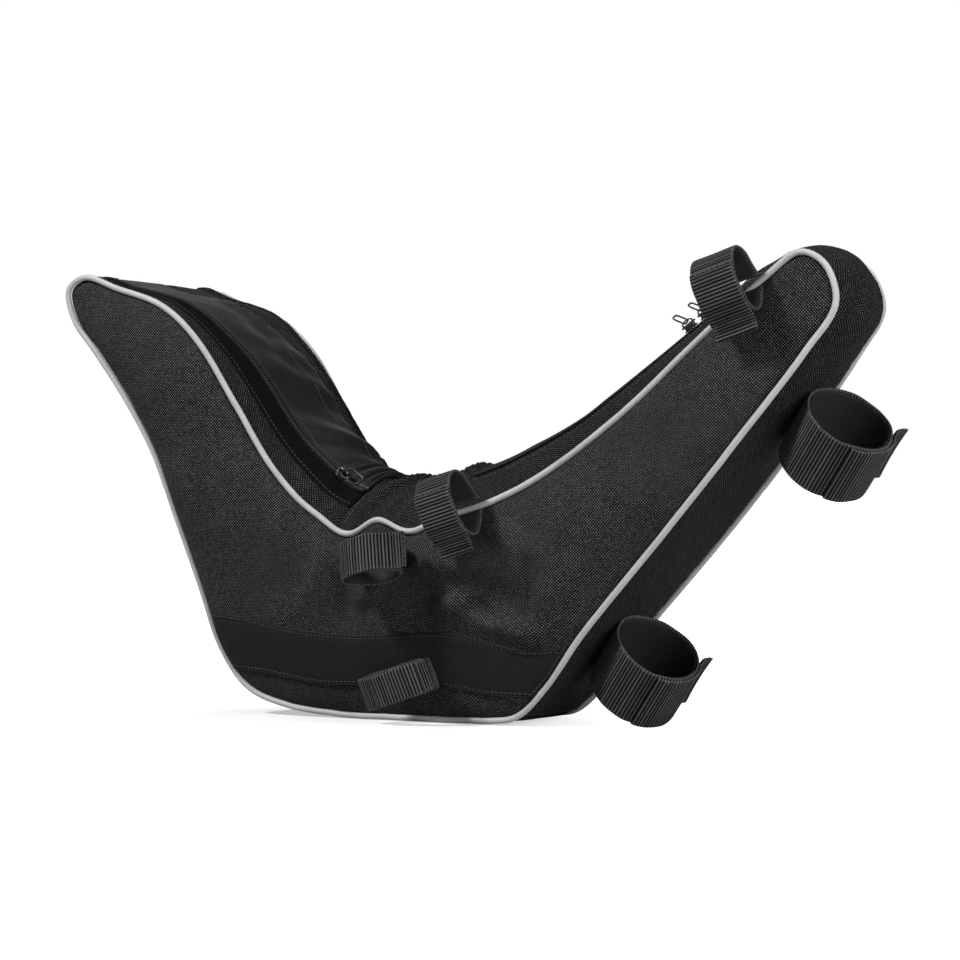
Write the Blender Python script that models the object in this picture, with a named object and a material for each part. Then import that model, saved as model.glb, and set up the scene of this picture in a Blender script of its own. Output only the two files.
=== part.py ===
"""Step-through frame bag: a soft V-shaped bag on a short flat bottom, with a wide rear horn, a slim
front horn, zipped top, corded edges and six hook-and-loop webbing straps.

Frame: metres, +X towards the slim front horn, +Y to the left side, +Z up, floor at z = 0.
"""

import math

import bmesh
import bpy
import numpy as np

# Side outline, counter-clockwise from the top of the rear tip, each point (x, z) on the edge cord
OUTLINE = [
    (-0.235, 0.291), (-0.249, 0.283), (-0.245, 0.263), (-0.226, 0.239), (-0.202, 0.206),
    (-0.183, 0.172), (-0.168, 0.128), (-0.154, 0.085), (-0.142, 0.044), (-0.124, 0.018),
    (-0.093, 0.007), (-0.062, 0.0034), (-0.044, 0.0023), (-0.015, 0.0023), (0.015, 0.0023),
    (0.044, 0.0023), (0.062, 0.0029), (0.080, 0.006), (0.100, 0.023),
    (0.131, 0.061), (0.185, 0.120), (0.236, 0.179), (0.279, 0.232), (0.297, 0.260),
    (0.288, 0.284), (0.271, 0.2915), (0.249, 0.277), (0.208, 0.241), (0.150, 0.191),
    (0.085, 0.149), (0.034, 0.1305), (-0.010, 0.1235), (-0.049, 0.128), (-0.086, 0.160),
    (-0.114, 0.203), (-0.143, 0.246), (-0.171, 0.270), (-0.209, 0.283),
]
OUTLINE_HEIGHT = 0.2915
SAMPLES_PER_SPAN = 8
BEND_GRADE = 0.05
BEND_SPAN = 0.008
GRADE_STEP = 0.001
STATION_STEP = 0.0005
STRIP_PITCH = 0.024
REAR_TOP_PITCH = 0.014
PANEL_ALONG = 48
PANEL_ACROSS = 8

# Bag widths between the two edge cords
WIDTH_BOTTOM = 0.076
WIDTH_REAR_MID = 0.126
WIDTH_REAR_TOP = 0.148
WIDTH_FRONT_MID = 0.088
WIDTH_FRONT_TOP = 0.060
BLEND_START_X = -0.024
BLEND_LENGTH = 0.150

# Seams on the outline, each found as the outline point nearest to (x, z)
SEAM_TIP = (-0.243, 0.289)
SEAM_HEEL = (-0.124, 0.018)
SEAM_TOE = (0.080, 0.006)
SEAM_NOSE_LOW = (0.294, 0.250)
SEAM_NOSE_TOP = (0.263, 0.288)
SEAM_VALLEY_FRONT = (0.046, 0.132)
SEAM_VALLEY_REAR = (-0.042, 0.128)
PANEL_TIP_LOW = (-0.250, 0.279)
PANEL_TIP_TOP = (-0.227, 0.2885)
PANEL_NOSE_LOW = (0.298, 0.262)
PANEL_NOSE_TOP = (0.274, 0.2915)

# Crown of the gussets above the straight line between the cords: place (x, z), height at the middle and
# the share of the width over which that height is flat
CROWN = {
    "rear": (-0.183, 0.172, 0.002, 0.0),
    "heel": (-0.124, 0.018, 0.0010, 0.55),
    "base_rear": (-0.044, 0.0023, 0.0023, 0.55),
    "base_front": (0.044, 0.0023, 0.0023, 0.55),
    "toe": (0.080, 0.006, 0.0014, 0.55),
    "tube": (0.185, 0.120, 0.003, 0.0),
    "nose": (0.297, 0.260, 0.009, 0.0),
    "nose_top": (0.271, 0.2915, 0.006, 0.0),
    "front_high": (0.236, 0.267, 0.014, 0.0),
    "front_mid": (0.140, 0.184, 0.025, 0.0),
    "front_low": (0.085, 0.149, 0.030, 0.0),
    "valley_front": (0.020, 0.125, 0.031, 0.0),
    "valley_rear": (-0.035, 0.1265, 0.033, 0.0),
    "rear_low": (-0.070, 0.145, 0.029, 0.0),
    "rear_mid": (-0.114, 0.203, 0.018, 0.0),
    "rear_high": (-0.152, 0.256, 0.009, 0.0),
    "tip": (-0.235, 0.291, 0.001, 0.0),
}

# Sag of the rear horn's left shoulder: place (x, z), depth at the left edge and reach along the edge
SAG_PLACE = (-0.1465, 0.2495)
SAG_DEPTH = 0.0065
SAG_REACH = 0.118

# Rumple of both edges in the valley: place (x, z), height of its hump, spacing and reach along the edge
RUMPLE_PLACE = (-0.010, 0.1235)
RUMPLE_HEIGHT = 0.0060
RUMPLE_SPACING = 0.055
RUMPLE_REACH = 0.036
RUMPLE_POWER = 6

# Layers
PANEL_THICKNESS = 0.003
PANEL_PROUD = 0.001
PANEL_INSET = 0.0036
PANEL_BELLY = 0.011
PANEL_BELLY_REACH = 0.030
LINING_THICKNESS = 0.001
LINING_GAP = 0.0014
LINING_FULLNESS = 0.80
LINING_ALONG = 30
LINING_ACROSS = 6
LINING_INSET = 0.009
GUSSET_THICKNESS = 0.0024
GUSSET_SIDE_GAP = 0.0029
SEAM_GAP = 0.0006
CORD_RADIUS = 0.0023
CORD_SIDES = 6
CORD_RINGS = 116
BAND_THICKNESS = 0.0009
BAND_GAP = 0.0005
BAND_TOP_REAR = 0.068
BAND_TOP_FRONT = 0.050
BAND_BOTTOM = 0.022
BAND_FALL_START = -0.134
BAND_FALL_LENGTH = 0.260
BAND_ROWS = 8
BAND_EDGE_MARGIN = 0.002
BASE_THICKNESS = 0.002
BASE_GAP = 0.0006
BASE_SIDE_MARGIN = 0.007
BASE_END_MARGIN = 0.016

# Zips, each at two shares of the half width: along most of its way and near the rear tip
ZIP_REAR_RIGHT = (-0.55, -0.72)
ZIP_REAR_LEFT = (0.77, 0.77)
ZIP_FRONT = (-0.45, -0.45)
LANE_TURN_START = (-0.128, 0.225)
LANE_TURN_END = (-0.200, 0.281)
TAPE_HALF_WIDTH = 0.0055
TAPE_THICKNESS = 0.0008
CHAIN_HALF_WIDTH = 0.0026
CHAIN_HEIGHT = 0.0016
CHAIN_GAP = 0.0003
ZIP_FRONT_TOP_MARGIN = 0.066
GARAGE_LENGTH = 0.036
LID_HINGE_GAP = 0.0014
LID_SEAM_MARGIN = 0.006
LID_PIVOT_LIFT = 0.001

# Sliders and pulls
SLIDER_LENGTH = 0.0105
SLIDER_HEIGHT = 0.0052
SLIDER_WIDTH = 0.0074
SLIDER_CLEARANCE = 0.0014
SLIDER_PARK = 0.030
SLIDER_EYE_LENGTH = 0.0042
SLIDER_EYE_HEIGHT = 0.0021
SLIDER_EYE_RISE = 0.0012
SLIDER_PITCH = 0.0128
SLIDER_CORNER = 0.0016
SLIDER_EYE_CORNER = 0.0008
SLIDER_AIM = 0.004
CORNER_STEPS = 4
PULL_WIRE = 0.0012
PULL_SIDES = 8
PULL_CORNER = 0.0026
PULL_CLEARANCE = 0.0006
REAR_PULL_LENGTH = 0.017
FRONT_PULL_LENGTH = 0.010
REAR_PULL_TILT = 8.0
FRONT_PULL_TILT = 62.0

# Straps: webbing, soft inner face and free tail
WEBBING_THICKNESS = 0.0018
FACE_THICKNESS = 0.0010
FACE_GAP = 0.0003
FACE_INSET = 0.0012
TAIL_GAP = 0.0005
TAIL_THICKNESS = 0.0018
STRAP_STAND_OFF = 0.0014
SMALL_WEBBING = 0.029
NARROW_WEBBING = 0.024
LOW_WEBBING = 0.021
LARGE_WEBBING = 0.041
LOOP_SIDES = 28

# Each strap: axis of its loop, inner half sizes (away from the bag, across), tail place, lift and length
STRAPS = {
    "strap_top_front": dict(
        at=(0.236, 0.268), lane=-1.0, lift=0.0055, axis=(0.95, 0.0, 0.31), width=SMALL_WEBBING,
        reach=0.0140, half=0.0175, tail_angle=60.0, tail_lift=38.0, tail=0.016,
    ),
    "strap_top_valley": dict(
        at=(0.051, 0.134), lane=-1.0, lift=0.0014, axis=(0.95, 0.0, 0.31), width=NARROW_WEBBING,
        reach=0.0175, half=0.0185, tail_angle=60.0, tail_lift=38.0, tail=0.014,
    ),
    "strap_side_upper": dict(
        at=(-0.001, 0.1235), lane=-1.0, lift=-0.0260, axis=(-0.22, 0.38, 0.95), width=NARROW_WEBBING,
        reach=0.0125, half=0.0178, tail_angle=62.0, tail_lift=34.0, tail=0.012,
    ),
    "strap_side_lower": dict(
        at=(0.0075, 0.003), lane=-1.0, lift=-0.0255, axis=(-0.30, 0.0, 0.955), width=LOW_WEBBING,
        reach=0.0085, half=0.0215, tail_angle=62.0, tail_lift=34.0, tail=0.012,
    ),
    "strap_tube_lower": dict(
        at=(0.1264, 0.0554), lane=0.0, lift=0.0, axis=(0.62, -0.26, 0.74), width=LARGE_WEBBING,
        reach=0.0250, half=0.0260, tail_angle=40.0, tail_lift=34.0, tail=0.016,
    ),
    "strap_tube_upper": dict(
        at=(0.2535, 0.200), lane=0.0, lift=0.0, axis=(0.61, -0.30, 0.73), width=LARGE_WEBBING,
        reach=0.0250, half=0.0265, tail_angle=40.0, tail_lift=34.0, tail=0.018,
    ),
}

COLORS = {
    "woven": (0.020, 0.020, 0.021), "smooth": (0.012, 0.012, 0.013), "band": (0.015, 0.015, 0.016),
    "cord": (0.42, 0.43, 0.44), "webbing": (0.014, 0.014, 0.015), "face": (0.024, 0.024, 0.026),
    "metal": (0.16, 0.16, 0.17), "coil": (0.030, 0.030, 0.031), "lining": (0.070, 0.072, 0.078),
    "board": (0.045, 0.045, 0.048),
}
ROUGHNESS_FABRIC = 0.8
ROUGHNESS_METAL = 0.35


def clear_scene():
    """Start from an empty scene."""
    for obj in list(bpy.data.objects):
        bpy.data.objects.remove(obj, do_unlink=True)


def unit(vector):
    """A vector scaled to length one."""
    vector = np.asarray(vector, float)
    return vector / np.linalg.norm(vector, axis=-1, keepdims=True)


def smooth_step(value):
    """Ease from 0 to 1."""
    value = np.clip(value, 0.0, 1.0)
    return value * value * (3.0 - 2.0 * value)


def sample_closed(points, per_span):
    """Centripetal spline through a closed list of points."""
    points = np.asarray(points, float)
    p0 = np.roll(points, 1, axis=0)
    p2 = np.roll(points, -1, axis=0)
    p3 = np.roll(points, -2, axis=0)
    k1 = np.sqrt(np.linalg.norm(points - p0, axis=1))[:, None, None]
    k2 = k1 + np.sqrt(np.linalg.norm(p2 - points, axis=1))[:, None, None]
    k3 = k2 + np.sqrt(np.linalg.norm(p3 - p2, axis=1))[:, None, None]
    share = np.linspace(0.0, 1.0, per_span, endpoint=False)[None, :, None]
    t = k1 + (k2 - k1) * share
    q0, q1, q2, q3 = (q[:, None, :] for q in (p0, points, p2, p3))
    a1 = q0 * (k1 - t) / k1 + q1 * t / k1
    a2 = q1 * (k2 - t) / (k2 - k1) + q2 * (t - k1) / (k2 - k1)
    a3 = q2 * (k3 - t) / (k3 - k2) + q3 * (t - k2) / (k3 - k2)
    b1 = a1 * (k2 - t) / k2 + a2 * t / k2
    b2 = a2 * (k3 - t) / (k3 - k1) + a3 * (t - k1) / (k3 - k1)
    return (b1 * (k2 - t) / (k2 - k1) + b2 * (t - k1) / (k2 - k1)).reshape(-1, points.shape[1])


class Shell:
    """The bag's outline with its widths and crowns: every piece is placed on it."""

    def __init__(self):
        self.points = sample_closed(OUTLINE, SAMPLES_PER_SPAN)
        steps = np.linalg.norm(np.roll(self.points, -1, axis=0) - self.points, axis=1)
        self.length = float(steps.sum())
        self.along = np.concatenate([[0.0], np.cumsum(steps)[:-1]])
        tangent = np.roll(self.points, -1, axis=0) - np.roll(self.points, 1, axis=0)
        tangent = unit(tangent)
        self.normals = np.stack([tangent[:, 1], -tangent[:, 0]], axis=1)
        stations = sorted((self.station((x, z)), rise, flat) for x, z, rise, flat in CROWN.values())
        self.crown_at = np.array([s for s, _, _ in stations])
        self.crown_rise = np.array([rise for _, rise, _ in stations])
        self.crown_flat = np.array([flat for _, _, flat in stations])
        self.sag_at = self.station(SAG_PLACE)
        self.rumple_at = self.station(RUMPLE_PLACE)
        self.lane_turn = (self.station(LANE_TURN_START), self.station(LANE_TURN_END))
        self.grade_at = np.arange(-self.length, 2.0 * self.length, GRADE_STEP)
        half = 0.5 * BEND_SPAN
        turned = self.normal(self.grade_at + half) - self.normal(self.grade_at - half)
        bend = np.linalg.norm(turned, axis=1) / BEND_SPAN
        self.grade_sum = np.cumsum(1.0 + BEND_GRADE * bend)

    def graded(self, start, span, share):
        """Stations from start over a span, closer together where the outline bends."""
        low, high = np.interp([start, start + span], self.grade_at, self.grade_sum)
        return np.interp(low + (high - low) * share, self.grade_sum, self.grade_at)

    def station(self, point):
        """Distance along the outline of its point nearest to (x, z)."""
        dense = np.arange(0.0, self.length, STATION_STEP)
        gap = np.linalg.norm(self.outline(dense) - np.asarray(point), axis=1)
        return float(dense[int(np.argmin(gap))])

    def _periodic(self, values, s):
        """A value known at the outline's points, read at stations s."""
        return np.interp(np.mod(s, self.length), self.along, values, period=self.length)

    def outline(self, s):
        """Outline points (x, z) at stations s."""
        both = [self._periodic(self.points[:, 0], s), self._periodic(self.points[:, 1], s)]
        return np.stack(both, axis=-1)

    def normal(self, s):
        """Outward normals (x, z) at stations s."""
        both = [self._periodic(self.normals[:, 0], s), self._periodic(self.normals[:, 1], s)]
        return unit(np.stack(both, axis=-1))

    def _eased(self, values, s):
        """A value known at the crown's places, eased between them."""
        s = np.mod(s, self.length)
        at = np.concatenate([self.crown_at - self.length, self.crown_at, self.crown_at + self.length])
        values = np.tile(values, 3)
        index = np.clip(np.searchsorted(at, s) - 1, 0, len(at) - 2)
        share = smooth_step((s - at[index]) / (at[index + 1] - at[index]))
        return values[index] * (1.0 - share) + values[index + 1] * share

    def crown(self, s):
        """Height of the gusset's middle above the cords at stations s."""
        return self._eased(self.crown_rise, s)

    def gap_from(self, place, s):
        """Signed distance along the outline from a station to stations s."""
        return np.mod(s - place + 0.5 * self.length, self.length) - 0.5 * self.length

    def shift(self, s, share):
        """How far the fabric stands off the outline at stations s, share from right (-1) to left (1)."""
        sagged = np.exp(-(self.gap_from(self.sag_at, s) / SAG_REACH) ** 2)
        along = self.gap_from(self.rumple_at, s)
        rumple = np.cos(2.0 * np.pi * along / RUMPLE_SPACING) * np.exp(-(along / RUMPLE_REACH) ** 2)
        return (RUMPLE_HEIGHT * rumple * np.abs(share) ** RUMPLE_POWER
                - SAG_DEPTH * sagged * 0.5 * (1.0 + share))

    def half_width(self, xz):
        """Half of the bag's width at (x, z)."""
        t = np.clip(xz[..., 1] / OUTLINE_HEIGHT, 0.0, 1.02)
        rear = bend_through(WIDTH_BOTTOM, WIDTH_REAR_MID, WIDTH_REAR_TOP, t)
        front = bend_through(WIDTH_BOTTOM, WIDTH_FRONT_MID, WIDTH_FRONT_TOP, t)
        share = smooth_step((xz[..., 0] - BLEND_START_X) / BLEND_LENGTH)
        return 0.5 * (rear * (1.0 - share) + front * share)

    def skin(self, s, y, lift=0.0):
        """Points of the crowned gusset at stations s and cross positions y, raised by lift."""
        base = self.outline(s)
        flat = self._eased(self.crown_flat, s)
        share = np.clip(y / self.half_width(base), -1.0, 1.0)
        beside = np.clip((np.abs(share) - flat) / (1.0 - flat), 0.0, 1.0)
        rise = self.crown(s) * (1.0 - beside ** 2) + self.shift(s, share) + lift
        xz = base + self.normal(s) * np.asarray(rise)[..., None]
        return np.stack([xz[..., 0], np.broadcast_to(y, xz[..., 0].shape), xz[..., 1]], axis=-1)

    def half_at(self, s):
        """Half width at stations s."""
        return self.half_width(self.outline(s))


def bend_through(low, mid, high, t):
    """Quadratic through three values at t = 0, 0.5 and 1."""
    return low * (1.0 - t) * (1.0 - 2.0 * t) + 4.0 * mid * t * (1.0 - t) + high * t * (2.0 * t - 1.0)


def material(kind):
    """Principled material of one kind, made once."""
    name = "mat_" + kind
    found = bpy.data.materials.get(name)
    if found:
        return found
    made = bpy.data.materials.new(name)
    made.use_nodes = True
    shader = made.node_tree.nodes["Principled BSDF"]
    shader.inputs["Base Color"].default_value = (*COLORS[kind], 1.0)
    is_metal = kind == "metal"
    shader.inputs["Roughness"].default_value = ROUGHNESS_METAL if is_metal else ROUGHNESS_FABRIC
    shader.inputs["Metallic"].default_value = 1.0 if is_metal else 0.0
    return made


def add_object(name, vertices, faces, kind, origin=(0.0, 0.0, 0.0)):
    """One named closed body facing outward, its origin at the given point."""
    mesh = bpy.data.meshes.new(name)
    mesh.from_pydata([tuple(v) for v in np.asarray(vertices) - np.asarray(origin)], [], faces)
    shape = bmesh.new()
    shape.from_mesh(mesh)
    bmesh.ops.recalc_face_normals(shape, faces=shape.faces[:])
    if shape.calc_volume(signed=True) < 0.0:
        bmesh.ops.reverse_faces(shape, faces=shape.faces[:])
    shape.to_mesh(mesh)
    shape.free()
    mesh.materials.append(material(kind))
    obj = bpy.data.objects.new(name, mesh)
    obj.location = origin
    bpy.context.scene.collection.objects.link(obj)
    return obj


def add_slab(name, outer, inner, kind, ring=False, origin=(0.0, 0.0, 0.0)):
    """Closed body between two grids of points; ring joins the last row to the first."""
    rows, columns = outer.shape[:2]
    vertices = np.concatenate([outer.reshape(-1, 3), inner.reshape(-1, 3)])
    shift = rows * columns
    faces = []
    row_pairs = [(i, (i + 1) % rows) for i in range(rows if ring else rows - 1)]
    for i, j in row_pairs:
        for k in range(columns - 1):
            quad = (i * columns + k, i * columns + k + 1, j * columns + k + 1, j * columns + k)
            faces.append(quad)
            faces.append(tuple(shift + index for index in reversed(quad)))
        for k in (0, columns - 1):
            first, second = i * columns + k, j * columns + k
            faces.append((first, second, shift + second, shift + first))
    if not ring:
        for i in (0, rows - 1):
            for k in range(columns - 1):
                first = i * columns + k
                faces.append((first, first + 1, shift + first + 1, shift + first))
    return add_object(name, vertices, faces, kind, origin)


def add_strip(shell, name, stations, low, high, lifts, kind, columns=7, origin=(0.0, 0.0, 0.0)):
    """Strip of gusset between two cross positions, given at each station."""
    s = np.asarray(stations)[:, None]
    share = np.linspace(0.0, 1.0, columns)[None, :]
    low = np.broadcast_to(low, (len(stations),))[:, None]
    high = np.broadcast_to(high, (len(stations),))[:, None]
    y = low * (1.0 - share) + high * share
    s = np.broadcast_to(s, y.shape)
    return add_slab(name, shell.skin(s, y, lifts[1]), shell.skin(s, y, lifts[0]), kind, origin=origin)


def station_range(shell, start, end, pitch=STRIP_PITCH):
    """Graded stations from start on to end, counting round the outline."""
    span = (end - start) % shell.length
    first = start % shell.length
    low, high = np.interp([first, first + span], shell.grade_at, shell.grade_sum)
    count = max(3, int(round(GRADE_STEP * (high - low) / pitch)) + 1)
    return shell.graded(first, span, np.linspace(0.0, 1.0, count))


def panel_grid(shell, side, inset, along=PANEL_ALONG, across=PANEL_ACROSS):
    """Coons patch over one side's outline moved inward: (along, across) points (x, z)."""
    def edge(s):
        return shell.outline(s) + shell.normal(s) * (shell.shift(s, side) - inset)[:, None]

    tip_low, tip_top = shell.station(PANEL_TIP_LOW), shell.station(PANEL_TIP_TOP)
    nose_low, nose_top = shell.station(PANEL_NOSE_LOW), shell.station(PANEL_NOSE_TOP)
    u = np.linspace(0.0, 1.0, along)
    t = np.linspace(0.0, 1.0, across)
    under = edge(shell.graded(tip_low, (nose_low - tip_low) % shell.length, u))
    over = edge(shell.graded(nose_top, (tip_top - nose_top) % shell.length, 1.0 - u))
    tip = edge(tip_low - t * ((tip_low - tip_top) % shell.length))
    nose = edge(nose_low + t * ((nose_top - nose_low) % shell.length))
    uu, tt = u[:, None, None], t[None, :, None]
    ruled = (1.0 - tt) * under[:, None] + tt * over[:, None] + (1.0 - uu) * tip[None] + uu * nose[None]
    corners = ((1.0 - uu) * (1.0 - tt) * under[0] + uu * (1.0 - tt) * under[-1]
               + (1.0 - uu) * tt * over[0] + uu * tt * over[-1])
    return ruled - corners


def belly(along, across):
    """How full the side panel is: 0 at its edges, 1 in its middle."""
    u = np.linspace(0.0, 1.0, along)[:, None]
    t = np.linspace(0.0, 1.0, across)[None, :]
    ends = smooth_step(u / 0.16) * smooth_step((1.0 - u) / 0.16)
    return np.sin(np.pi * t) ** 0.8 * ends * (0.62 + 0.38 * np.sin(np.pi * u) ** 2)


def side_sheet(shell, xz, fullness, side, depth):
    """Points of a side sheet: depth is measured inward from the cord's plane."""
    y = side * (shell.half_width(xz) + PANEL_BELLY * fullness - depth)
    return np.stack([xz[..., 0], y, xz[..., 1]], axis=-1)


def add_side_panels(shell):
    """Padded side panels and the thin linings behind them."""
    fullness = belly(PANEL_ALONG, PANEL_ACROSS)
    lining_fullness = LINING_FULLNESS * belly(LINING_ALONG, LINING_ACROSS)
    panel_depths = (-PANEL_PROUD, PANEL_THICKNESS - PANEL_PROUD)
    lining_depth = panel_depths[1] + LINING_GAP
    lining_depths = (lining_depth, lining_depth + LINING_THICKNESS)
    for label, side in (("right", -1.0), ("left", 1.0)):
        outer_grid = panel_grid(shell, side, PANEL_INSET)
        lining_grid = panel_grid(shell, side, LINING_INSET, LINING_ALONG, LINING_ACROSS)
        outer, inner = (side_sheet(shell, outer_grid, fullness, side, depth) for depth in panel_depths)
        add_slab("side_panel_" + label, outer, inner, "woven")
        outer, inner = (side_sheet(shell, lining_grid, lining_fullness, side, depth)
                        for depth in lining_depths)
        add_slab("lining_" + label, outer, inner, "lining")


def cut_rows(grid, fullness, low, high, rows):
    """Points and fullness of the panel between two shares of its height, low and high given per column."""
    across = grid.shape[1]
    share = np.linspace(0.0, 1.0, rows)[None, :]
    t = (low[:, None] * (1.0 - share) + high[:, None] * share) * (across - 1)
    index = np.clip(t.astype(int), 0, across - 2)
    part = t - index
    column = np.arange(grid.shape[0])[:, None]
    xz = grid[column, index] * (1.0 - part[..., None]) + grid[column, index + 1] * part[..., None]
    full = fullness[column, index] * (1.0 - part) + fullness[column, index + 1] * part
    return xz, full


def height_share(grid, height):
    """Share of each column of the panel at which its height is reached."""
    return np.array([np.interp(z, column[:, 1], np.linspace(0.0, 1.0, len(column)))
                     for column, z in zip(grid, height)])


def add_lower_bands(shell):
    """Smooth reinforcing bands sewn low across both side panels."""
    grid = panel_grid(shell, -1.0, PANEL_INSET)
    fullness = belly(PANEL_ALONG, PANEL_ACROSS)
    lowest = grid[:, 0, :]
    fall = smooth_step((lowest[:, 0] - BAND_FALL_START) / BAND_FALL_LENGTH)
    top = BAND_TOP_REAR + (BAND_TOP_FRONT - BAND_TOP_REAR) * fall
    keep = np.flatnonzero(lowest[:, 1] < top - 4.0 * BAND_EDGE_MARGIN)
    low = np.minimum(np.maximum(lowest[:, 1] + BAND_EDGE_MARGIN, BAND_BOTTOM), top - BAND_EDGE_MARGIN)
    low_share = height_share(grid, low)
    high_share = height_share(grid, top)
    xz, full = cut_rows(grid, fullness, low_share, high_share, BAND_ROWS)
    xz, full = xz[keep], full[keep]
    inner = -PANEL_PROUD - BAND_GAP
    for label, side in (("right", -1.0), ("left", 1.0)):
        add_slab("lower_band_" + label, side_sheet(shell, xz, full, side, inner - BAND_THICKNESS),
                 side_sheet(shell, xz, full, side, inner), "band")


def add_edge_cords(shell):
    """Light cords sewn into both edges of the bag."""
    stations = shell.graded(0.0, shell.length, np.linspace(0.0, 1.0, CORD_RINGS, endpoint=False))
    normal = shell.normal(stations)
    out = np.stack([normal[:, 0], np.zeros(len(normal)), normal[:, 1]], axis=1)
    turn = np.linspace(0.0, 2.0 * np.pi, CORD_SIDES, endpoint=False)
    for label, side in (("right", -1.0), ("left", 1.0)):
        centre = shell.skin(stations, side * shell.half_at(stations))
        ring = (centre[:, None] + CORD_RADIUS * (np.cos(turn)[None, :, None] * out[:, None]
                + np.sin(turn)[None, :, None] * np.array([0.0, 1.0, 0.0])))
        add_closed_tube("edge_cord_" + label, ring, "cord")


def add_closed_tube(name, rings, kind, origin=(0.0, 0.0, 0.0)):
    """Tube whose rings run round a closed path."""
    count, sides = rings.shape[:2]
    faces = []
    for i in range(count):
        first, second = i * sides, ((i + 1) % count) * sides
        for k in range(sides):
            following = (k + 1) % sides
            faces.append((first + k, first + following, second + following, second + k))
    return add_object(name, rings.reshape(-1, 3), faces, kind, origin)


def add_plain_gussets(shell):
    """Gussets that run from cord to cord: rear, bottom, tube side, nose and valley."""
    runs = {
        "gusset_rear": (SEAM_TIP, SEAM_HEEL), "gusset_bottom": (SEAM_HEEL, SEAM_TOE),
        "gusset_tube_side": (SEAM_TOE, SEAM_NOSE_LOW), "gusset_nose": (SEAM_NOSE_LOW, SEAM_NOSE_TOP),
        "gusset_valley": (SEAM_VALLEY_FRONT, SEAM_VALLEY_REAR),
    }
    for name, (start, end) in runs.items():
        first = shell.station(start) + 0.5 * SEAM_GAP
        last = shell.station(end) - 0.5 * SEAM_GAP
        s = station_range(shell, first, last)
        edge = shell.half_at(s) - GUSSET_SIDE_GAP
        add_strip(shell, name, s, -edge, edge, (-GUSSET_THICKNESS, 0.0), "woven", columns=8)


def add_base_board(shell):
    """Stiff board inside the bottom."""
    first = shell.station(SEAM_HEEL) + BASE_END_MARGIN
    last = shell.station(SEAM_TOE) - BASE_END_MARGIN
    s = station_range(shell, first, last)
    edge = shell.half_at(s) - BASE_SIDE_MARGIN
    top = -GUSSET_THICKNESS - BASE_GAP
    add_strip(shell, "base_board", s, -edge, edge, (top - BASE_THICKNESS, top), "board", columns=5)


def zip_lane(shell, s, lane):
    """Cross position of a zip at stations s, eased from its first share to its second near the tip."""
    first, last = shell.lane_turn
    ease = smooth_step((np.mod(s, shell.length) - first) / (last - first))
    return (lane[0] * (1.0 - ease) + lane[1] * ease) * shell.half_at(s)


def add_zip(shell, label, s, lane):
    """Zip tape with its coil chain on top."""
    centre = zip_lane(shell, s, lane)
    add_strip(shell, "zip_tape_" + label, s, centre - TAPE_HALF_WIDTH, centre + TAPE_HALF_WIDTH,
              (-TAPE_THICKNESS, 0.0), "smooth", columns=4)
    add_strip(shell, "zip_chain_" + label, s, centre - CHAIN_HALF_WIDTH, centre + CHAIN_HALF_WIDTH,
              (CHAIN_GAP, CHAIN_GAP + CHAIN_HEIGHT), "coil", columns=3)


def add_front_top(shell):
    """Top of the front horn: two woven strips with a zip between them."""
    start = shell.station(SEAM_NOSE_TOP) + 0.5 * SEAM_GAP
    end = shell.station(SEAM_VALLEY_FRONT) - 0.5 * SEAM_GAP
    s = station_range(shell, start, end)
    edge = shell.half_at(s) - GUSSET_SIDE_GAP
    slot = TAPE_HALF_WIDTH + SEAM_GAP
    centre = zip_lane(shell, s, ZIP_FRONT)
    lifts = (-GUSSET_THICKNESS, 0.0)
    add_strip(shell, "front_top_strip_right", s, -edge, centre - slot, lifts, "woven")
    add_strip(shell, "front_top_strip_left", s, centre + slot, edge, lifts, "woven", columns=9)
    add_zip(shell, "front", s, ZIP_FRONT)


def rear_top_stations(shell):
    """Stations of the rear top: its two ends and the lid's two ends."""
    start = shell.station(SEAM_VALLEY_REAR) + 0.5 * SEAM_GAP
    end = shell.station(SEAM_TIP) - 0.5 * SEAM_GAP
    if end < start:
        end += shell.length
    return start, end, start + GARAGE_LENGTH, end - LID_SEAM_MARGIN


def lid_pivot(shell):
    """Point on the lid's hinge line at its rear end."""
    _, _, _, last = rear_top_stations(shell)
    return shell.skin(np.array([last]), np.array([0.0]), LID_PIVOT_LIFT)[0]


def add_rear_top(shell):
    """Top of the rear horn: woven strips, two zips, a smooth lid, the zip garage and the tip seam."""
    start, end, lid_start, lid_end = rear_top_stations(shell)
    s = station_range(shell, start, end, REAR_TOP_PITCH)
    edge = shell.half_at(s) - GUSSET_SIDE_GAP
    slot = TAPE_HALF_WIDTH + SEAM_GAP
    right = zip_lane(shell, s, ZIP_REAR_RIGHT)
    left = zip_lane(shell, s, ZIP_REAR_LEFT)
    lifts = (-GUSSET_THICKNESS, 0.0)
    add_strip(shell, "rear_top_strip_right", s, -edge, right - slot, lifts, "woven")
    add_strip(shell, "rear_top_strip_left", s, left + slot, edge, lifts, "woven", columns=3)
    add_zip(shell, "rear_right", s, ZIP_REAR_RIGHT)
    add_zip(shell, "rear_left", s, ZIP_REAR_LEFT)
    inner_runs = {
        "zip_garage": (start, lid_start - SEAM_GAP), "lid": (lid_start, lid_end),
        "tip_seam": (lid_end + LID_HINGE_GAP, end),
    }
    for name, (first, last) in inner_runs.items():
        run = station_range(shell, first, last, REAR_TOP_PITCH)
        low = zip_lane(shell, run, ZIP_REAR_RIGHT) + slot
        high = zip_lane(shell, run, ZIP_REAR_LEFT) - slot
        origin = lid_pivot(shell) if name == "lid" else (0.0, 0.0, 0.0)
        kind = "woven" if name == "tip_seam" else "smooth"
        add_strip(shell, name, run, low, high, lifts, kind, columns=8, origin=origin)


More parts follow.
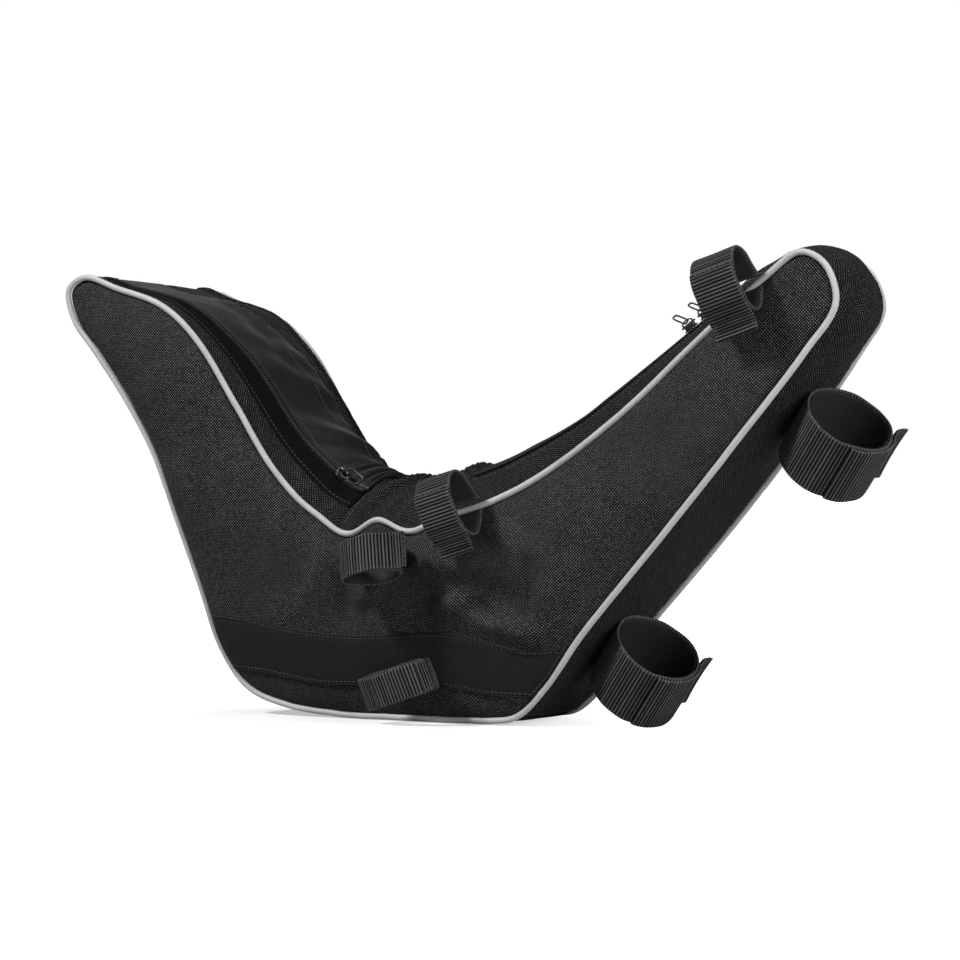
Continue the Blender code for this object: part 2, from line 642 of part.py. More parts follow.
def slider_places(shell):
    """Name, lane, parking station and pull of each zip slider."""
    start, _, _, _ = rear_top_stations(shell)
    front = shell.station(SEAM_NOSE_TOP) + ZIP_FRONT_TOP_MARGIN
    rear_pull = (REAR_PULL_LENGTH, REAR_PULL_TILT, -1.0)
    front_pull = (FRONT_PULL_LENGTH, FRONT_PULL_TILT, 1.0)
    return {
        "rear_right": (ZIP_REAR_RIGHT, start + SLIDER_PARK, rear_pull),
        "rear_left": (ZIP_REAR_LEFT, start + SLIDER_PARK, rear_pull),
        "front_upper": (ZIP_FRONT, front, front_pull),
        "front_lower": (ZIP_FRONT, front + SLIDER_PITCH, front_pull),
    }


def zip_point(shell, s, lane, lift):
    """Point above a zip's chain at station s."""
    s = np.atleast_1d(np.asarray(s, float))
    return shell.skin(s, zip_lane(shell, s, lane), lift)[0]


def slider_frame(shell, s, lane):
    """Origin on the chain's top and the along, across and up directions of a slider."""
    base = CHAIN_GAP + CHAIN_HEIGHT
    origin = zip_point(shell, s, lane, base)
    ahead = zip_point(shell, s + SLIDER_AIM, lane, base)
    behind = zip_point(shell, s - SLIDER_AIM, lane, base)
    along = unit(ahead - behind)
    y = zip_lane(shell, np.array([s]), lane) + np.array([-0.5, 0.5]) * SLIDER_AIM
    low, high = shell.skin(np.array([s, s]), y, base)
    up = unit(np.cross(along, high - low))
    normal = shell.normal(np.array([s]))[0]
    if up[0] * normal[0] + up[2] * normal[1] < 0.0:
        up = -up
    return origin, along, np.cross(up, along), up


def rounded_loop(length, height, radius):
    """Closed rounded rectangle (a, b) around the origin."""
    points = []
    for sign_a, sign_b, start in ((1, 1, 0.0), (-1, 1, 90.0), (-1, -1, 180.0), (1, -1, 270.0)):
        for step in range(CORNER_STEPS + 1):
            angle = math.radians(start + 90.0 * step / CORNER_STEPS)
            points.append((sign_a * (0.5 * length - radius) + radius * math.cos(angle),
                           sign_b * (0.5 * height - radius) + radius * math.sin(angle)))
    return np.array(points)


def add_slider(shell, label, lane, s):
    """Zip slider: a rounded body with an eye through it for the pull."""
    origin, along, across, up = slider_frame(shell, s, lane)
    outer = rounded_loop(SLIDER_LENGTH, SLIDER_HEIGHT, SLIDER_CORNER)
    eye = rounded_loop(SLIDER_EYE_LENGTH, SLIDER_EYE_HEIGHT, SLIDER_EYE_CORNER) + (0.0, SLIDER_EYE_RISE)
    middle = origin + up * (SLIDER_CLEARANCE + 0.5 * SLIDER_HEIGHT)
    rings = []
    for loop, side in ((outer, -0.5), (outer, 0.5), (eye, 0.5), (eye, -0.5)):
        rings.append(middle + loop[:, :1] * along + loop[:, 1:] * up + side * SLIDER_WIDTH * across)
    rings = np.stack(rings, axis=1)
    add_closed_tube("slider_" + label, rings, "metal", origin=middle)
    return middle + up * SLIDER_EYE_RISE, along, across, up


def add_pull(shell, label, hinge, pull):
    """Rectangular wire pull whose crossbar runs through the slider's eye."""
    pivot, along, across, up = hinge
    length, tilt, way = pull
    angle = math.radians(tilt)
    reach = unit(way * math.cos(angle) * along + math.sin(angle) * up)
    width = SLIDER_WIDTH + 2.0 * (PULL_CLEARANCE + PULL_WIRE)
    path = rounded_loop(length, width, PULL_CORNER) + (0.5 * length, 0.0)
    tangent = unit(np.roll(path, -1, axis=0) - np.roll(path, 1, axis=0))
    side = np.stack([tangent[:, 1], -tangent[:, 0]], axis=1)
    lift = np.cross(reach, across)
    turn = np.linspace(0.0, 2.0 * np.pi, PULL_SIDES, endpoint=False)
    centre = pivot + path[:, :1] * reach + path[:, 1:] * across
    out = side[:, :1] * reach + side[:, 1:] * across
    rings = (centre[:, None] + 0.5 * PULL_WIRE * (np.cos(turn)[None, :, None] * out[:, None]
             + np.sin(turn)[None, :, None] * lift))
    add_closed_tube("pull_" + label, rings, "metal", origin=pivot)


def add_sliders(shell):
    """Every zip slider with its pull."""
    for label, (lane, s, pull) in slider_places(shell).items():
        hinge = add_slider(shell, label, lane, s)
        add_pull(shell, label, hinge, pull)


class StrapPlace:
    """Where one strap's loop stands: its centre, directions and sewn line."""

    def __init__(self, shell, plan):
        s = shell.station(plan["at"])
        normal = shell.normal(np.array([s]))[0]
        base = shell.outline(np.array([s]))[0]
        self.axis = unit(np.array(plan["axis"], float))
        self.reach = plan["reach"] + FACE_THICKNESS + FACE_GAP + WEBBING_THICKNESS
        self.half = plan["half"] + FACE_THICKNESS + FACE_GAP + WEBBING_THICKNESS
        if plan["lane"] == 0.0:
            self.out = np.array([normal[0], 0.0, normal[1]])
            foot = np.array([base[0], 0.0, base[1]]) + self.out * shell.crown(np.array([s]))[0]
        else:
            self.out = np.array([0.0, plan["lane"], 0.0])
            spot = base + normal * (plan["lift"] + shell.shift(s, plan["lane"]))
            step = 0.5 * plan["width"] * self.axis[[0, 2]]
            slope = (shell.half_width(spot + step) - shell.half_width(spot - step)) / plan["width"]
            self.axis = unit(self.axis + np.array([0.0, plan["lane"] * slope, 0.0]))
            depth = shell.half_width(spot) + CORD_RADIUS
            if plan["lift"] < 0.0:
                depth += PANEL_BELLY * min(1.0, -plan["lift"] / PANEL_BELLY_REACH)
            foot = np.array([spot[0], plan["lane"] * depth, spot[1]])
        self.across = unit(np.cross(self.axis, self.out))
        self.out = np.cross(self.across, self.axis)
        self.sewn = foot
        self.centre = foot + self.out * (STRAP_STAND_OFF + self.reach)
        self.width = plan["width"]

    def ring(self, inward, angles):
        """Loop points at a depth inside its outer face, angles measured from the outward direction."""
        cos, sin = np.cos(angles)[:, None], np.sin(angles)[:, None]
        away = (self.reach - inward) * cos * self.out
        return self.centre + away + (self.half - inward) * sin * self.across


def band_grid(points, axis, width, columns):
    """Sweep a line of points along an axis into a grid."""
    share = np.linspace(-0.5, 0.5, columns)[None, :, None] * width
    return points[:, None] + share * axis


def add_strap(shell, name, plan):
    """Webbing loop, its soft inner face and its free tail."""
    place = StrapPlace(shell, plan)
    turn = np.linspace(0.0, 2.0 * np.pi, LOOP_SIDES, endpoint=False)
    add_slab(name + "_loop", band_grid(place.ring(0.0, turn), place.axis, place.width, 2),
             band_grid(place.ring(WEBBING_THICKNESS, turn), place.axis, place.width, 2), "webbing",
             ring=True, origin=place.sewn)
    face = WEBBING_THICKNESS + FACE_GAP
    narrow = place.width - 2.0 * FACE_INSET
    add_slab(name + "_face", band_grid(place.ring(face, turn), place.axis, narrow, 2),
             band_grid(place.ring(face + FACE_THICKNESS, turn), place.axis, narrow, 2), "face",
             ring=True, origin=place.sewn)
    root, along, out = tail_frame(place, plan)
    steps = np.linspace(0.0, plan["tail"], 5)[:, None]
    line = root + steps * along
    narrow = place.width - FACE_INSET
    add_slab(name + "_tail", band_grid(line + out * TAIL_THICKNESS, place.axis, narrow, 2),
             band_grid(line, place.axis, narrow, 2), "webbing", origin=root)


def tail_frame(place, plan):
    """Root of a strap's tail, the way it points and its outer side."""
    angle = math.radians(plan["tail_angle"])
    point = place.ring(0.0, np.array([angle]))[0]
    ahead = place.ring(0.0, np.array([angle + 0.02]))[0]
    tangent = unit(ahead - point)
    out = unit(np.cross(tangent, place.axis))
    if out.dot(point - place.centre) < 0.0:
        out = -out
    lift = math.radians(plan["tail_lift"])
    along = math.cos(lift) * tangent + math.sin(lift) * out
    outer = math.cos(lift) * out - math.sin(lift) * tangent
    return point + out * TAIL_GAP, along, outer


def add_straps(shell):
    """All six straps."""
    for name, plan in STRAPS.items():
        add_strap(shell, name, plan)


def build():
    """Build the whole bag."""
    clear_scene()
    shell = Shell()
    add_side_panels(shell)
    add_lower_bands(shell)
    add_edge_cords(shell)
    add_plain_gussets(shell)
    add_base_board(shell)
    add_front_top(shell)
    add_rear_top(shell)
    add_sliders(shell)
    add_straps(shell)


build()
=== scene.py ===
"""Looks of the step-through frame bag: cloth, cords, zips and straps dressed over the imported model.

Frame: metres, +X towards the slim front horn, +Y to the bag's left side, +Z up, floor at z = 0.
"""

import logging
import math
from dataclasses import dataclass, field
from enum import Enum
from functools import partialmethod
from typing import Callable, Optional, Sequence, Union

import bmesh
import bpy
import numpy as np
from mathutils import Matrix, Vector

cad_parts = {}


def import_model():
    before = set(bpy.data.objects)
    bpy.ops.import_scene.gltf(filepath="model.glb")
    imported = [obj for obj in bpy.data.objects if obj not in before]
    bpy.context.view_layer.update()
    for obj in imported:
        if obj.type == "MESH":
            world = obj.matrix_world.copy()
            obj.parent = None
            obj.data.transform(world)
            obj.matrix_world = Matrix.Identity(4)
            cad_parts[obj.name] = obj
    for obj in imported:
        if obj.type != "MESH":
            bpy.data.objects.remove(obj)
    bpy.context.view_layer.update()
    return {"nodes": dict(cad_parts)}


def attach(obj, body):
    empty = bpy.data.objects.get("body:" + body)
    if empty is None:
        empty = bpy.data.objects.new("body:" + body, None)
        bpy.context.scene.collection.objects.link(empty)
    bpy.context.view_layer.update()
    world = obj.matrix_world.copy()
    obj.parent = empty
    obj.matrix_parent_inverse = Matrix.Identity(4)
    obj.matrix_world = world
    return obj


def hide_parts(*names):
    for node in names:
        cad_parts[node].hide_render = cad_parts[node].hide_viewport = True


log = logging.getLogger("frame_bag")

Array = np.ndarray
Number = Union[float, Array]
Place = tuple[float, float]
Point = tuple[float, float, float]
Socket = bpy.types.NodeSocket
Material = bpy.types.Material
Object = bpy.types.Object

CLOTH_MAP = "cloth"
X_AXIS, Y_AXIS, Z_AXIS = np.eye(3)
TURN = 2.0 * math.pi
RIPPLE_STEP, RIPPLE_SHARE = 0.61, 0.72
SWELL_STEP, SWELL_SHARE = 0.82, 0.86


# Small sums


def unit(vectors: Array) -> Array:
    """Vectors divided by their own lengths."""
    vectors = np.asarray(vectors, float)
    return vectors / np.maximum(np.linalg.norm(vectors, axis=-1, keepdims=True), 1e-12)


def ease(x: Array) -> Array:
    """Smooth step from 0 to 1: 3x squared less 2x cubed, held at both ends."""
    x = np.clip(x, 0.0, 1.0)
    return x * x * (3.0 - 2.0 * x)


def bell(x: Array) -> Array:
    """Bell curve: e to the power of minus x squared."""
    return np.exp(-np.square(x))


def fading(gap: Array, reach: float) -> Array:
    """One at an edge, falling off with the gap from it: e to the power of minus gap over reach."""
    return np.exp(-gap / reach)


def squared_off(turn: Array, power: float) -> tuple[Array, Array]:
    """Cosine and sine of a turn, both raised to a power with their signs kept: a rounded rectangle."""
    cos, sin = np.cos(turn), np.sin(turn)
    return np.sign(cos) * np.abs(cos) ** power, np.sign(sin) * np.abs(sin) ** power


def crowd(count: int, share: float) -> Array:
    """Values from 0 to 1, closer together near both ends: x less a share of its own sine."""
    x = np.linspace(0.0, 1.0, count)
    return x - share * np.sin(TURN * x) / TURN


def ripple(x: Array, seed: int, longest: float, count: int = 5) -> Array:
    """Uneven wave along one coordinate.

    A sum of sines whose wavelengths shrink from the longest by a fixed ratio, each with its own seeded phase
    and a share of the height that falls with its wavelength.

    Args:
        x: Positions along the line, in metres.
        seed: Number that fixes the phases.
        longest: Longest wavelength, in metres.
        count: How many sines are added.

    Returns:
        Heights between about -1 and 1.
    """
    rng = np.random.default_rng(seed)
    total = np.zeros_like(np.asarray(x, float))
    weight = 0.0
    for k in range(count):
        share = RIPPLE_SHARE ** k
        length = longest * RIPPLE_STEP ** k
        total = total + share * np.sin(TURN * x / length + rng.uniform(0.0, TURN))
        weight += share
    return total / weight


def swell(a: Array, b: Array, seed: int, longest: float, count: int = 7) -> Array:
    """Uneven gentle relief over two coordinates.

    A sum of plane waves in seeded directions, whose wavelengths and heights both shrink by a fixed ratio.

    Args:
        a: First coordinate, in metres.
        b: Second coordinate, in metres.
        seed: Number that fixes directions and phases.
        longest: Longest wavelength, in metres.
        count: How many waves are added.

    Returns:
        Heights between about -1 and 1.
    """
    rng = np.random.default_rng(seed)
    total = np.zeros_like(np.asarray(a, float))
    weight = 0.0
    for k in range(count):
        turn, phase = rng.uniform(0.0, TURN, 2)
        share = SWELL_SHARE ** k
        way = a * math.cos(turn) + b * math.sin(turn)
        total = total + share * np.sin(TURN * way / (longest * SWELL_STEP ** k) + phase)
        weight += share
    return total / weight


def run_lengths(points: Array) -> Array:
    """Distance along each row of points from its first one: the running sum of the steps."""
    steps = np.linalg.norm(np.diff(points, axis=-2), axis=-1)
    return np.concatenate([np.zeros(steps.shape[:-1] + (1,)), np.cumsum(steps, axis=-1)], axis=-1)


def grid_normals(points: Array) -> Array:
    """Normals of a grid of points: the cross product of its two directions' differences."""
    return unit(np.cross(np.gradient(points, axis=0), np.gradient(points, axis=1)))


def read_grid(grid: Array, row: Array, column: Array) -> Array:
    """Values of a grid at fractional rows and columns: the four neighbours, weighted by their nearness."""
    i = np.clip(row.astype(int), 0, grid.shape[0] - 2)
    k = np.clip(column.astype(int), 0, grid.shape[1] - 2)
    di, dk = (row - i)[..., None], (column - k)[..., None]
    return ((grid[i, k] * (1.0 - di) + grid[i + 1, k] * di) * (1.0 - dk)
            + (grid[i, k + 1] * (1.0 - di) + grid[i + 1, k + 1] * di) * dk)


# Mesh making


@dataclass
class Surface:
    """Points, four-cornered faces, and the cloth coordinate at each corner of each face, in metres."""

    points: Array
    faces: Array
    cloth: Array

    @staticmethod
    def grid(points: Array, cloth: Array, wrap_rows: bool = False, wrap_columns: bool = False) -> "Surface":
        """Faces between neighbouring points of a grid.

        Args:
            points: Grid of points, rows by columns by three.
            cloth: Grid of cloth coordinates, with one more row or column where the grid closes on itself.
            wrap_rows: Whether the last row joins the first.
            wrap_columns: Whether the last column joins the first.

        Returns:
            The surface.
        """
        rows, columns = points.shape[:2]
        i = np.arange(rows if wrap_rows else rows - 1)[:, None, None]
        k = np.arange(columns if wrap_columns else columns - 1)[None, :, None]
        di = np.array([0, 0, 1, 1])
        dk = np.array([0, 1, 1, 0])
        row, column = np.broadcast_arrays(i + di, k + dk)
        faces = ((row % rows) * columns + column % columns).reshape(-1, 4)
        return Surface(points.reshape(-1, 3), faces, cloth[row, column].reshape(-1, 4, 2))

    @staticmethod
    def slab(outer: Array, inner: Array, cloth: Array, ring: bool = False) -> "Surface":
        """Closed wall between an outer and an inner grid.

        Each row is read as one loop, out along the outer grid and back along the inner one, and the first and
        last loops are closed by faces that join outer to inner.

        Args:
            outer: Outer grid of points.
            inner: Inner grid of the same shape.
            cloth: Cloth coordinates of the grid, with one more row for a ring.
            ring: Whether the last row joins the first.

        Returns:
            The surface.
        """
        loops = np.concatenate([outer, inner[:, ::-1]], axis=1)
        double = np.concatenate([cloth, cloth[:, ::-1], cloth[:, :1]], axis=1)
        body = Surface.grid(loops, double, wrap_rows=ring, wrap_columns=True)
        if ring:
            return body
        rows, columns = outer.shape[:2]
        k = np.arange(columns - 1)
        corners = np.stack([k, k + 1, 2 * columns - 2 - k, 2 * columns - 1 - k], axis=1)
        caps = np.concatenate([corners, corners + (rows - 1) * 2 * columns])
        faces = np.concatenate([body.faces, caps])
        cloth_caps = np.concatenate([double[0, corners], double[-1, corners]])
        return Surface(body.points, faces, np.concatenate([body.cloth, cloth_caps]))

    @staticmethod
    def tube(path: Array, side: Array, lift: Array, width: Array, height: Array, sides: int,
             closed: bool) -> "Surface":
        """Tube along a path: each ring is a circle stretched to a width and a height.

        Args:
            path: Points along the middle of the tube.
            side: Unit vectors across the tube, one or one at each point.
            lift: Unit vectors upward, one or one at each point.
            width: Half width, one or one at each point.
            height: Half height, one or one at each point.
            sides: Points in each ring.
            closed: Whether the path returns to its start; an open tube is drawn in to a point at both ends.

        Returns:
            The surface.
        """
        side, lift = (np.broadcast_to(v, path.shape) for v in (side, lift))
        width = np.broadcast_to(width, len(path)).astype(float)
        height = np.broadcast_to(height, len(path)).astype(float)
        run = run_lengths(np.concatenate([path, path[:1]]) if closed else path)
        if not closed:
            path, side, lift = (np.concatenate([v[:1], v, v[-1:]]) for v in (path, side, lift))
            width, height = (np.concatenate([[0.0], v, [0.0]]) for v in (width, height))
            run = np.concatenate([run[:1], run, run[-1:]])
        turn = np.linspace(0.0, TURN, sides + 1)
        cos, sin = np.cos(turn[:-1])[None, :, None], np.sin(turn[:-1])[None, :, None]
        rings = path[:, None] + cos * side[:, None] * width[:, None, None]
        rings = rings + sin * lift[:, None] * height[:, None, None]
        round_it = 0.5 * (np.abs(width).max() + np.abs(height).max()) * turn
        cloth = np.stack(np.broadcast_arrays(run[:, None], round_it[None, :]), axis=-1)
        return Surface.grid(rings, cloth, wrap_rows=closed, wrap_columns=True)

    @staticmethod
    def stamps(pattern: "Surface", places: Array, along: Array, up: Array) -> "Surface":
        """Copies of a small pattern, each turned so that its x runs along and its z runs up.

        Args:
            pattern: The surface that is repeated.
            places: Where each copy's origin goes.
            along: Direction of x at each place.
            up: Direction near z at each place.

        Returns:
            All copies as one surface.
        """
        along = unit(along)
        across = unit(np.cross(up, along))
        axes = np.stack([along, across, np.cross(along, across)], axis=1)
        points = places[:, None] + np.einsum("kj,njd->nkd", pattern.points, axes)
        shift = (np.arange(len(places)) * len(pattern.points))[:, None, None]
        faces = (pattern.faces[None] + shift).reshape(-1, 4)
        return Surface(points.reshape(-1, 3), faces, np.tile(pattern.cloth, (len(places), 1, 1)))

    @staticmethod
    def join(parts: Sequence["Surface"]) -> "Surface":
        """Several surfaces as one, their islands left apart."""
        shifts = np.cumsum([0] + [len(p.points) for p in parts[:-1]])
        return Surface(
            np.concatenate([p.points for p in parts]),
            np.concatenate([p.faces + s for p, s in zip(parts, shifts)]),
            np.concatenate([p.cloth for p in parts]),
        )

    def to_object(self, name: str, material: Material, weld: bool = False, sharp: float = 48.0) -> Object:
        """Make a Blender object at the origin, faces outward.

        Args:
            name: Name of the piece.
            material: Its material.
            weld: Whether points that coincide, as at poles, are merged.
            sharp: Angle in degrees past which an edge stays sharp.

        Returns:
            The new object.
        """
        mesh = bpy.data.meshes.new(name)
        mesh.vertices.add(len(self.points))
        mesh.vertices.foreach_set("co", self.points.astype(np.float32).ravel())
        mesh.loops.add(self.faces.size)
        mesh.loops.foreach_set("vertex_index", self.faces.astype(np.int32).ravel())
        mesh.polygons.add(len(self.faces))
        mesh.polygons.foreach_set("loop_start", np.arange(0, self.faces.size, 4, dtype=np.int32))
        mesh.update(calc_edges=True)
        layer = mesh.uv_layers.new(name=CLOTH_MAP)
        layer.data.foreach_set("uv", self.cloth.astype(np.float32).ravel())
        shape = bmesh.new()
        shape.from_mesh(mesh)
        if weld:
            bmesh.ops.remove_doubles(shape, verts=shape.verts[:], dist=1e-6)
        bmesh.ops.recalc_face_normals(shape, faces=shape.faces[:])
        if shape.calc_volume(signed=True) < 0.0:
            bmesh.ops.reverse_faces(shape, faces=shape.faces[:])
        shape.to_mesh(mesh)
        shape.free()
        mesh.materials.append(material)
        mesh.shade_smooth()
        mesh.set_sharp_from_angle(angle=math.radians(sharp))
        obj = bpy.data.objects.new(name, mesh)
        bpy.context.scene.collection.objects.link(obj)
        return obj


def settle(obj: Object, body: str, slot: str, nodes: Sequence[str] = (), *sewn_on: Object) -> None:
    """Let a piece ride on its body and stand for its nodes, and settle what is sewn on it.

    Args:
        obj: The piece.
        body: Body that carries it.
        slot: Not used.
        nodes: CAD nodes that it stands for.
        sewn_on: Stitch rows and patches that move with it.
    """
    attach(obj, body)
    if nodes:
        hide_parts(*nodes)
    log.info("%s: %d faces on %s", obj.name, len(obj.data.polygons), body)
    for other in sewn_on:
        settle(other, body, slot)


# Materials


class Wire:
    """A value in a material's node tree; plain arithmetic on it adds Math nodes."""

    def __init__(self, sheet: "NodeSheet", socket: Socket) -> None:
        """Hold a socket and the sheet that it belongs to."""
        self.sheet, self.socket = sheet, socket

    def sum(self, operation: str, *others: "Value") -> "Wire":
        """A Math node's result for this value and up to two more."""
        node = self.sheet.add("ShaderNodeMath", operation=operation)
        for socket, value in zip(node.inputs, (self, *others)):
            self.sheet.feed(socket, value)
        return Wire(self.sheet, node.outputs[0])

    __add__ = partialmethod(sum, "ADD")
    __sub__ = partialmethod(sum, "SUBTRACT")
    __mul__ = partialmethod(sum, "MULTIPLY")
    __truediv__ = partialmethod(sum, "DIVIDE")
    __pow__ = partialmethod(sum, "POWER")
    __abs__ = partialmethod(sum, "ABSOLUTE")

    def sine(self, spacing: float = TURN) -> "Wire":
        """Sine wave of this value, one wave to a spacing."""
        return (self * (TURN / spacing)).sum("SINE")

    def between(self, low: float, high: float, start: float = 0.0, end: float = 1.0) -> "Wire":
        """Map this value from low..high on to start..end, held at both ends."""
        node = self.sheet.add("ShaderNodeMapRange")
        for socket, number in zip(node.inputs, (self, low, high, start, end)):
            self.sheet.feed(socket, number)
        return Wire(self.sheet, node.outputs[0])


Value = Union[float, Wire]


class NodeSheet:
    """A material's node tree with short calls for the nodes that the finishes use."""

    def __init__(self, name: str) -> None:
        """Start a material with a Principled shader alone."""
        self.material = bpy.data.materials.new(name)
        self.material.use_nodes = True
        self.tree = self.material.node_tree
        self.shader = self.tree.nodes["Principled BSDF"]

    def add(self, kind: str, **values: object) -> bpy.types.Node:
        """Add a node and set its plain properties."""
        node = self.tree.nodes.new(kind)
        for key, value in values.items():
            setattr(node, key, value)
        return node

    def feed(self, socket: Socket, value: object) -> None:
        """Link a wire or a socket, or set the socket's constant."""
        if isinstance(value, Wire):
            value = value.socket
        if isinstance(value, bpy.types.NodeSocket):
            self.tree.links.new(value, socket)
        else:
            socket.default_value = value

    def cloth(self) -> tuple[Wire, Wire]:
        """The piece's own cloth coordinates, in metres."""
        node = self.add("ShaderNodeUVMap", uv_map=CLOTH_MAP)
        split = self.add("ShaderNodeSeparateXYZ")
        self.feed(split.inputs[0], node.outputs[0])
        return Wire(self, split.outputs[0]), Wire(self, split.outputs[1])

    def noise(self, scale: float, detail: float = 2.0, rough: float = 0.5) -> Wire:
        """Noise over the object's own coordinates."""
        node = self.add("ShaderNodeTexNoise")
        self.feed(node.inputs["Vector"], self.add("ShaderNodeTexCoord").outputs["Object"])
        for key, number in (("Scale", scale), ("Detail", detail), ("Roughness", rough)):
            node.inputs[key].default_value = number
        return Wire(self, node.outputs["Fac"])

    def chance(self, cell: Wire, other: Optional[Wire] = None) -> Wire:
        """White noise that keeps one value within a cell, which one or two cell numbers name."""
        node = self.add("ShaderNodeTexWhiteNoise", noise_dimensions="2D" if other else "1D")
        if other is None:
            self.feed(node.inputs["W"], cell)
        else:
            both = self.add("ShaderNodeCombineXYZ")
            self.feed(both.inputs[0], cell)
            self.feed(both.inputs[1], other)
            self.feed(node.inputs["Vector"], both.outputs[0])
        return Wire(self, node.outputs[0])

    def grey(self, value: Wire, tint: Point = (1.0, 1.0, 1.0)) -> Socket:
        """A colour whose channels are one value times a tint."""
        node = self.add("ShaderNodeCombineColor")
        for socket, share in zip(node.inputs, tint):
            self.feed(socket, value if share == 1.0 else value * share)
        return node.outputs[0]

    def bump(self, height: Wire, distance: float, strength: float) -> Socket:
        """Bump normal of a height between 0 and 1 that stands for a distance."""
        node = self.add("ShaderNodeBump")
        self.feed(node.inputs["Height"], height)
        node.inputs["Distance"].default_value = distance
        node.inputs["Strength"].default_value = strength
        return node.outputs[0]

    def finish(self, **inputs: object) -> Material:
        """Set or link the shader's sockets and hand over the material."""
        for key, value in inputs.items():
            self.feed(self.shader.inputs[key.replace("_", " ")], value)
        return self.material


@dataclass(frozen=True)
class WovenCloth:
    """Plain-woven polyester: warp and weft yarns cross over and under in a checker."""

    name: str
    grey: float
    pitch: float = 0.00098
    turn: float = 0.0
    # Painted highlight on the yarn that lies on top and painted shade on the yarn beneath, as multiples of
    # the grey.
    over: float = 7.6
    under: float = 0.25
    fade: float = 0.5
    dot_power: float = 1.6
    mean: float = 1.08
    yarns: Place = (0.55, 0.9)
    clouds: Place = (0.84, 1.16)
    relief: float = 0.0003

    def material(self) -> Material:
        """Build it.

        Each crossing shows one dot, a sine along each yarn multiplied together and raised to a power: a
        painted highlight on the yarn's crown and painted shade in the grooves between yarns. The sum of the
        two cell numbers, odd or even, says which yarn is on top; that one gets a far brighter painted
        highlight, the one beneath painted shade.
        Slow noise draws the contrast towards the mean in places, and a second noise clouds the whole.
        """
        n = NodeSheet(self.name)
        a, b = n.cloth()
        if self.turn:
            cos, sin = math.cos(math.radians(self.turn)), math.sin(math.radians(self.turn))
            a, b = a * cos - b * sin, a * sin + b * cos
        a, b = a / self.pitch, b / self.pitch
        sine_a, sine_b = (v.sum("FRACT").sine(2.0) for v in (a, b))
        # Painted light: each yarn's crown is painted bright and the grooves between the yarns are painted
        # dark.
        dot = (sine_a * sine_b) ** self.dot_power
        cell_a, cell_b = a.sum("FLOOR"), b.sum("FLOOR")
        over = (cell_a + cell_b).sum("PINGPONG", 1.0)
        least, spread = self.yarns
        # Painted highlight on the yarn on top and painted shade on the one beneath, then a random tone for
        # each yarn.
        level = dot * over.between(0.0, 1.0, self.under, self.over)
        level = level * (n.chance(cell_a, cell_b) * spread + least)
        depth = n.noise(13.0, 3.0, 0.6).between(0.34, 0.54, self.fade, 1.0)
        level = (level - self.mean) * depth + self.mean
        level = level * n.noise(24.0, 4.0, 0.6).between(0.3, 0.7, *self.clouds)
        height = dot * over.between(0.0, 1.0, 0.55, 1.0)
        return n.finish(
            Base_Color=n.grey(level * self.grey, (1.0, 1.0, 0.97)),
            Roughness=height.between(0.1, 0.9, 0.86, 0.56),
            Normal=n.bump(height, self.relief, 0.6),
            Specular_IOR_Level=0.1, Sheen_Weight=0.01, Sheen_Roughness=0.45,
        )


@dataclass(frozen=True)
class SmoothCloth:
    """Coated fabric: very fine weave under a satin coat, with soft clouding, a little lighter on the grain's
    high spots.
    """

    name: str
    grey: float
    rough: float
    grain: float = 0.00045
    relief: float = 0.00006
    gloss: float = 0.22
    speckle: float = 0.1
    clouds: Place = (0.84, 1.16)

    def material(self) -> Material:
        """Build it: the grain is the product of two fine sines, roughened by two noises."""
        n = NodeSheet(self.name)
        wave_a, wave_b = (v.sine(self.grain) for v in n.cloth())
        grain = wave_a * wave_b * 0.5 + 0.5
        cloud, fine = n.noise(38.0, 5.0, 0.62), n.noise(420.0, 3.0, 0.6)
        height = grain * 0.5 + fine * 0.5
        level = cloud.between(0.25, 0.75, *self.clouds) * self.grey
        level = level * height.between(0.3, 0.7, 1.0 - self.speckle, 1.0 + self.speckle)
        return n.finish(
            Base_Color=n.grey(level),
            Roughness=cloud.between(0.3, 0.7, self.rough - 0.05, self.rough + 0.08),
            Normal=n.bump(height, self.relief, 0.6),
            Specular_IOR_Level=self.gloss,
        )


@dataclass(frozen=True)
class RibbedWebbing:
    """Strap webbing: ribs across the band, fine yarns along it and a pale fuzzy selvedge."""

    name: str
    grey: float
    width: float
    rib: float = 0.0022
    yarn: float = 0.0012
    rib_shine: float = 7.2
    selvedge: Place = (0.0016, 0.0004)
    selvedge_shine: float = 3.6
    relief: float = 0.0007

    def material(self) -> Material:
        """Build it: the first cloth coordinate runs along the band, the second across it from its middle."""
        n = NodeSheet(self.name)
        a, b = n.cloth()
        rib, yarn = abs(a.sine(2.0 * self.rib)), abs(b.sine(2.0 * self.yarn))
        height = rib ** 3.0 * (yarn * 0.5 + 0.5)
        fuzz = n.noise(1500.0, 3.0, 0.7)
        edge = abs(b).between(*(0.5 * self.width - gap for gap in self.selvedge))
        edge = edge * fuzz.between(0.38, 0.62, 0.15, 1.0)
        streak = n.chance((a / self.rib).sum("FLOOR"))
        level = (height * self.rib_shine + 0.02) * (streak * 0.6 + 0.7)
        level = level * n.noise(60.0, 3.0).between(0.3, 0.7, 0.88, 1.12)
        level = (level + edge * self.selvedge_shine) * self.grey
        return n.finish(
            Base_Color=n.grey(level, (1.0, 1.0, 0.96)),
            Roughness=height.between(0.1, 0.9, 0.9, 0.6),
            Normal=n.bump(height + fuzz * edge * 0.8, self.relief, 0.8),
            Specular_IOR_Level=0.1, Sheen_Weight=0.02, Sheen_Roughness=0.5,
        )


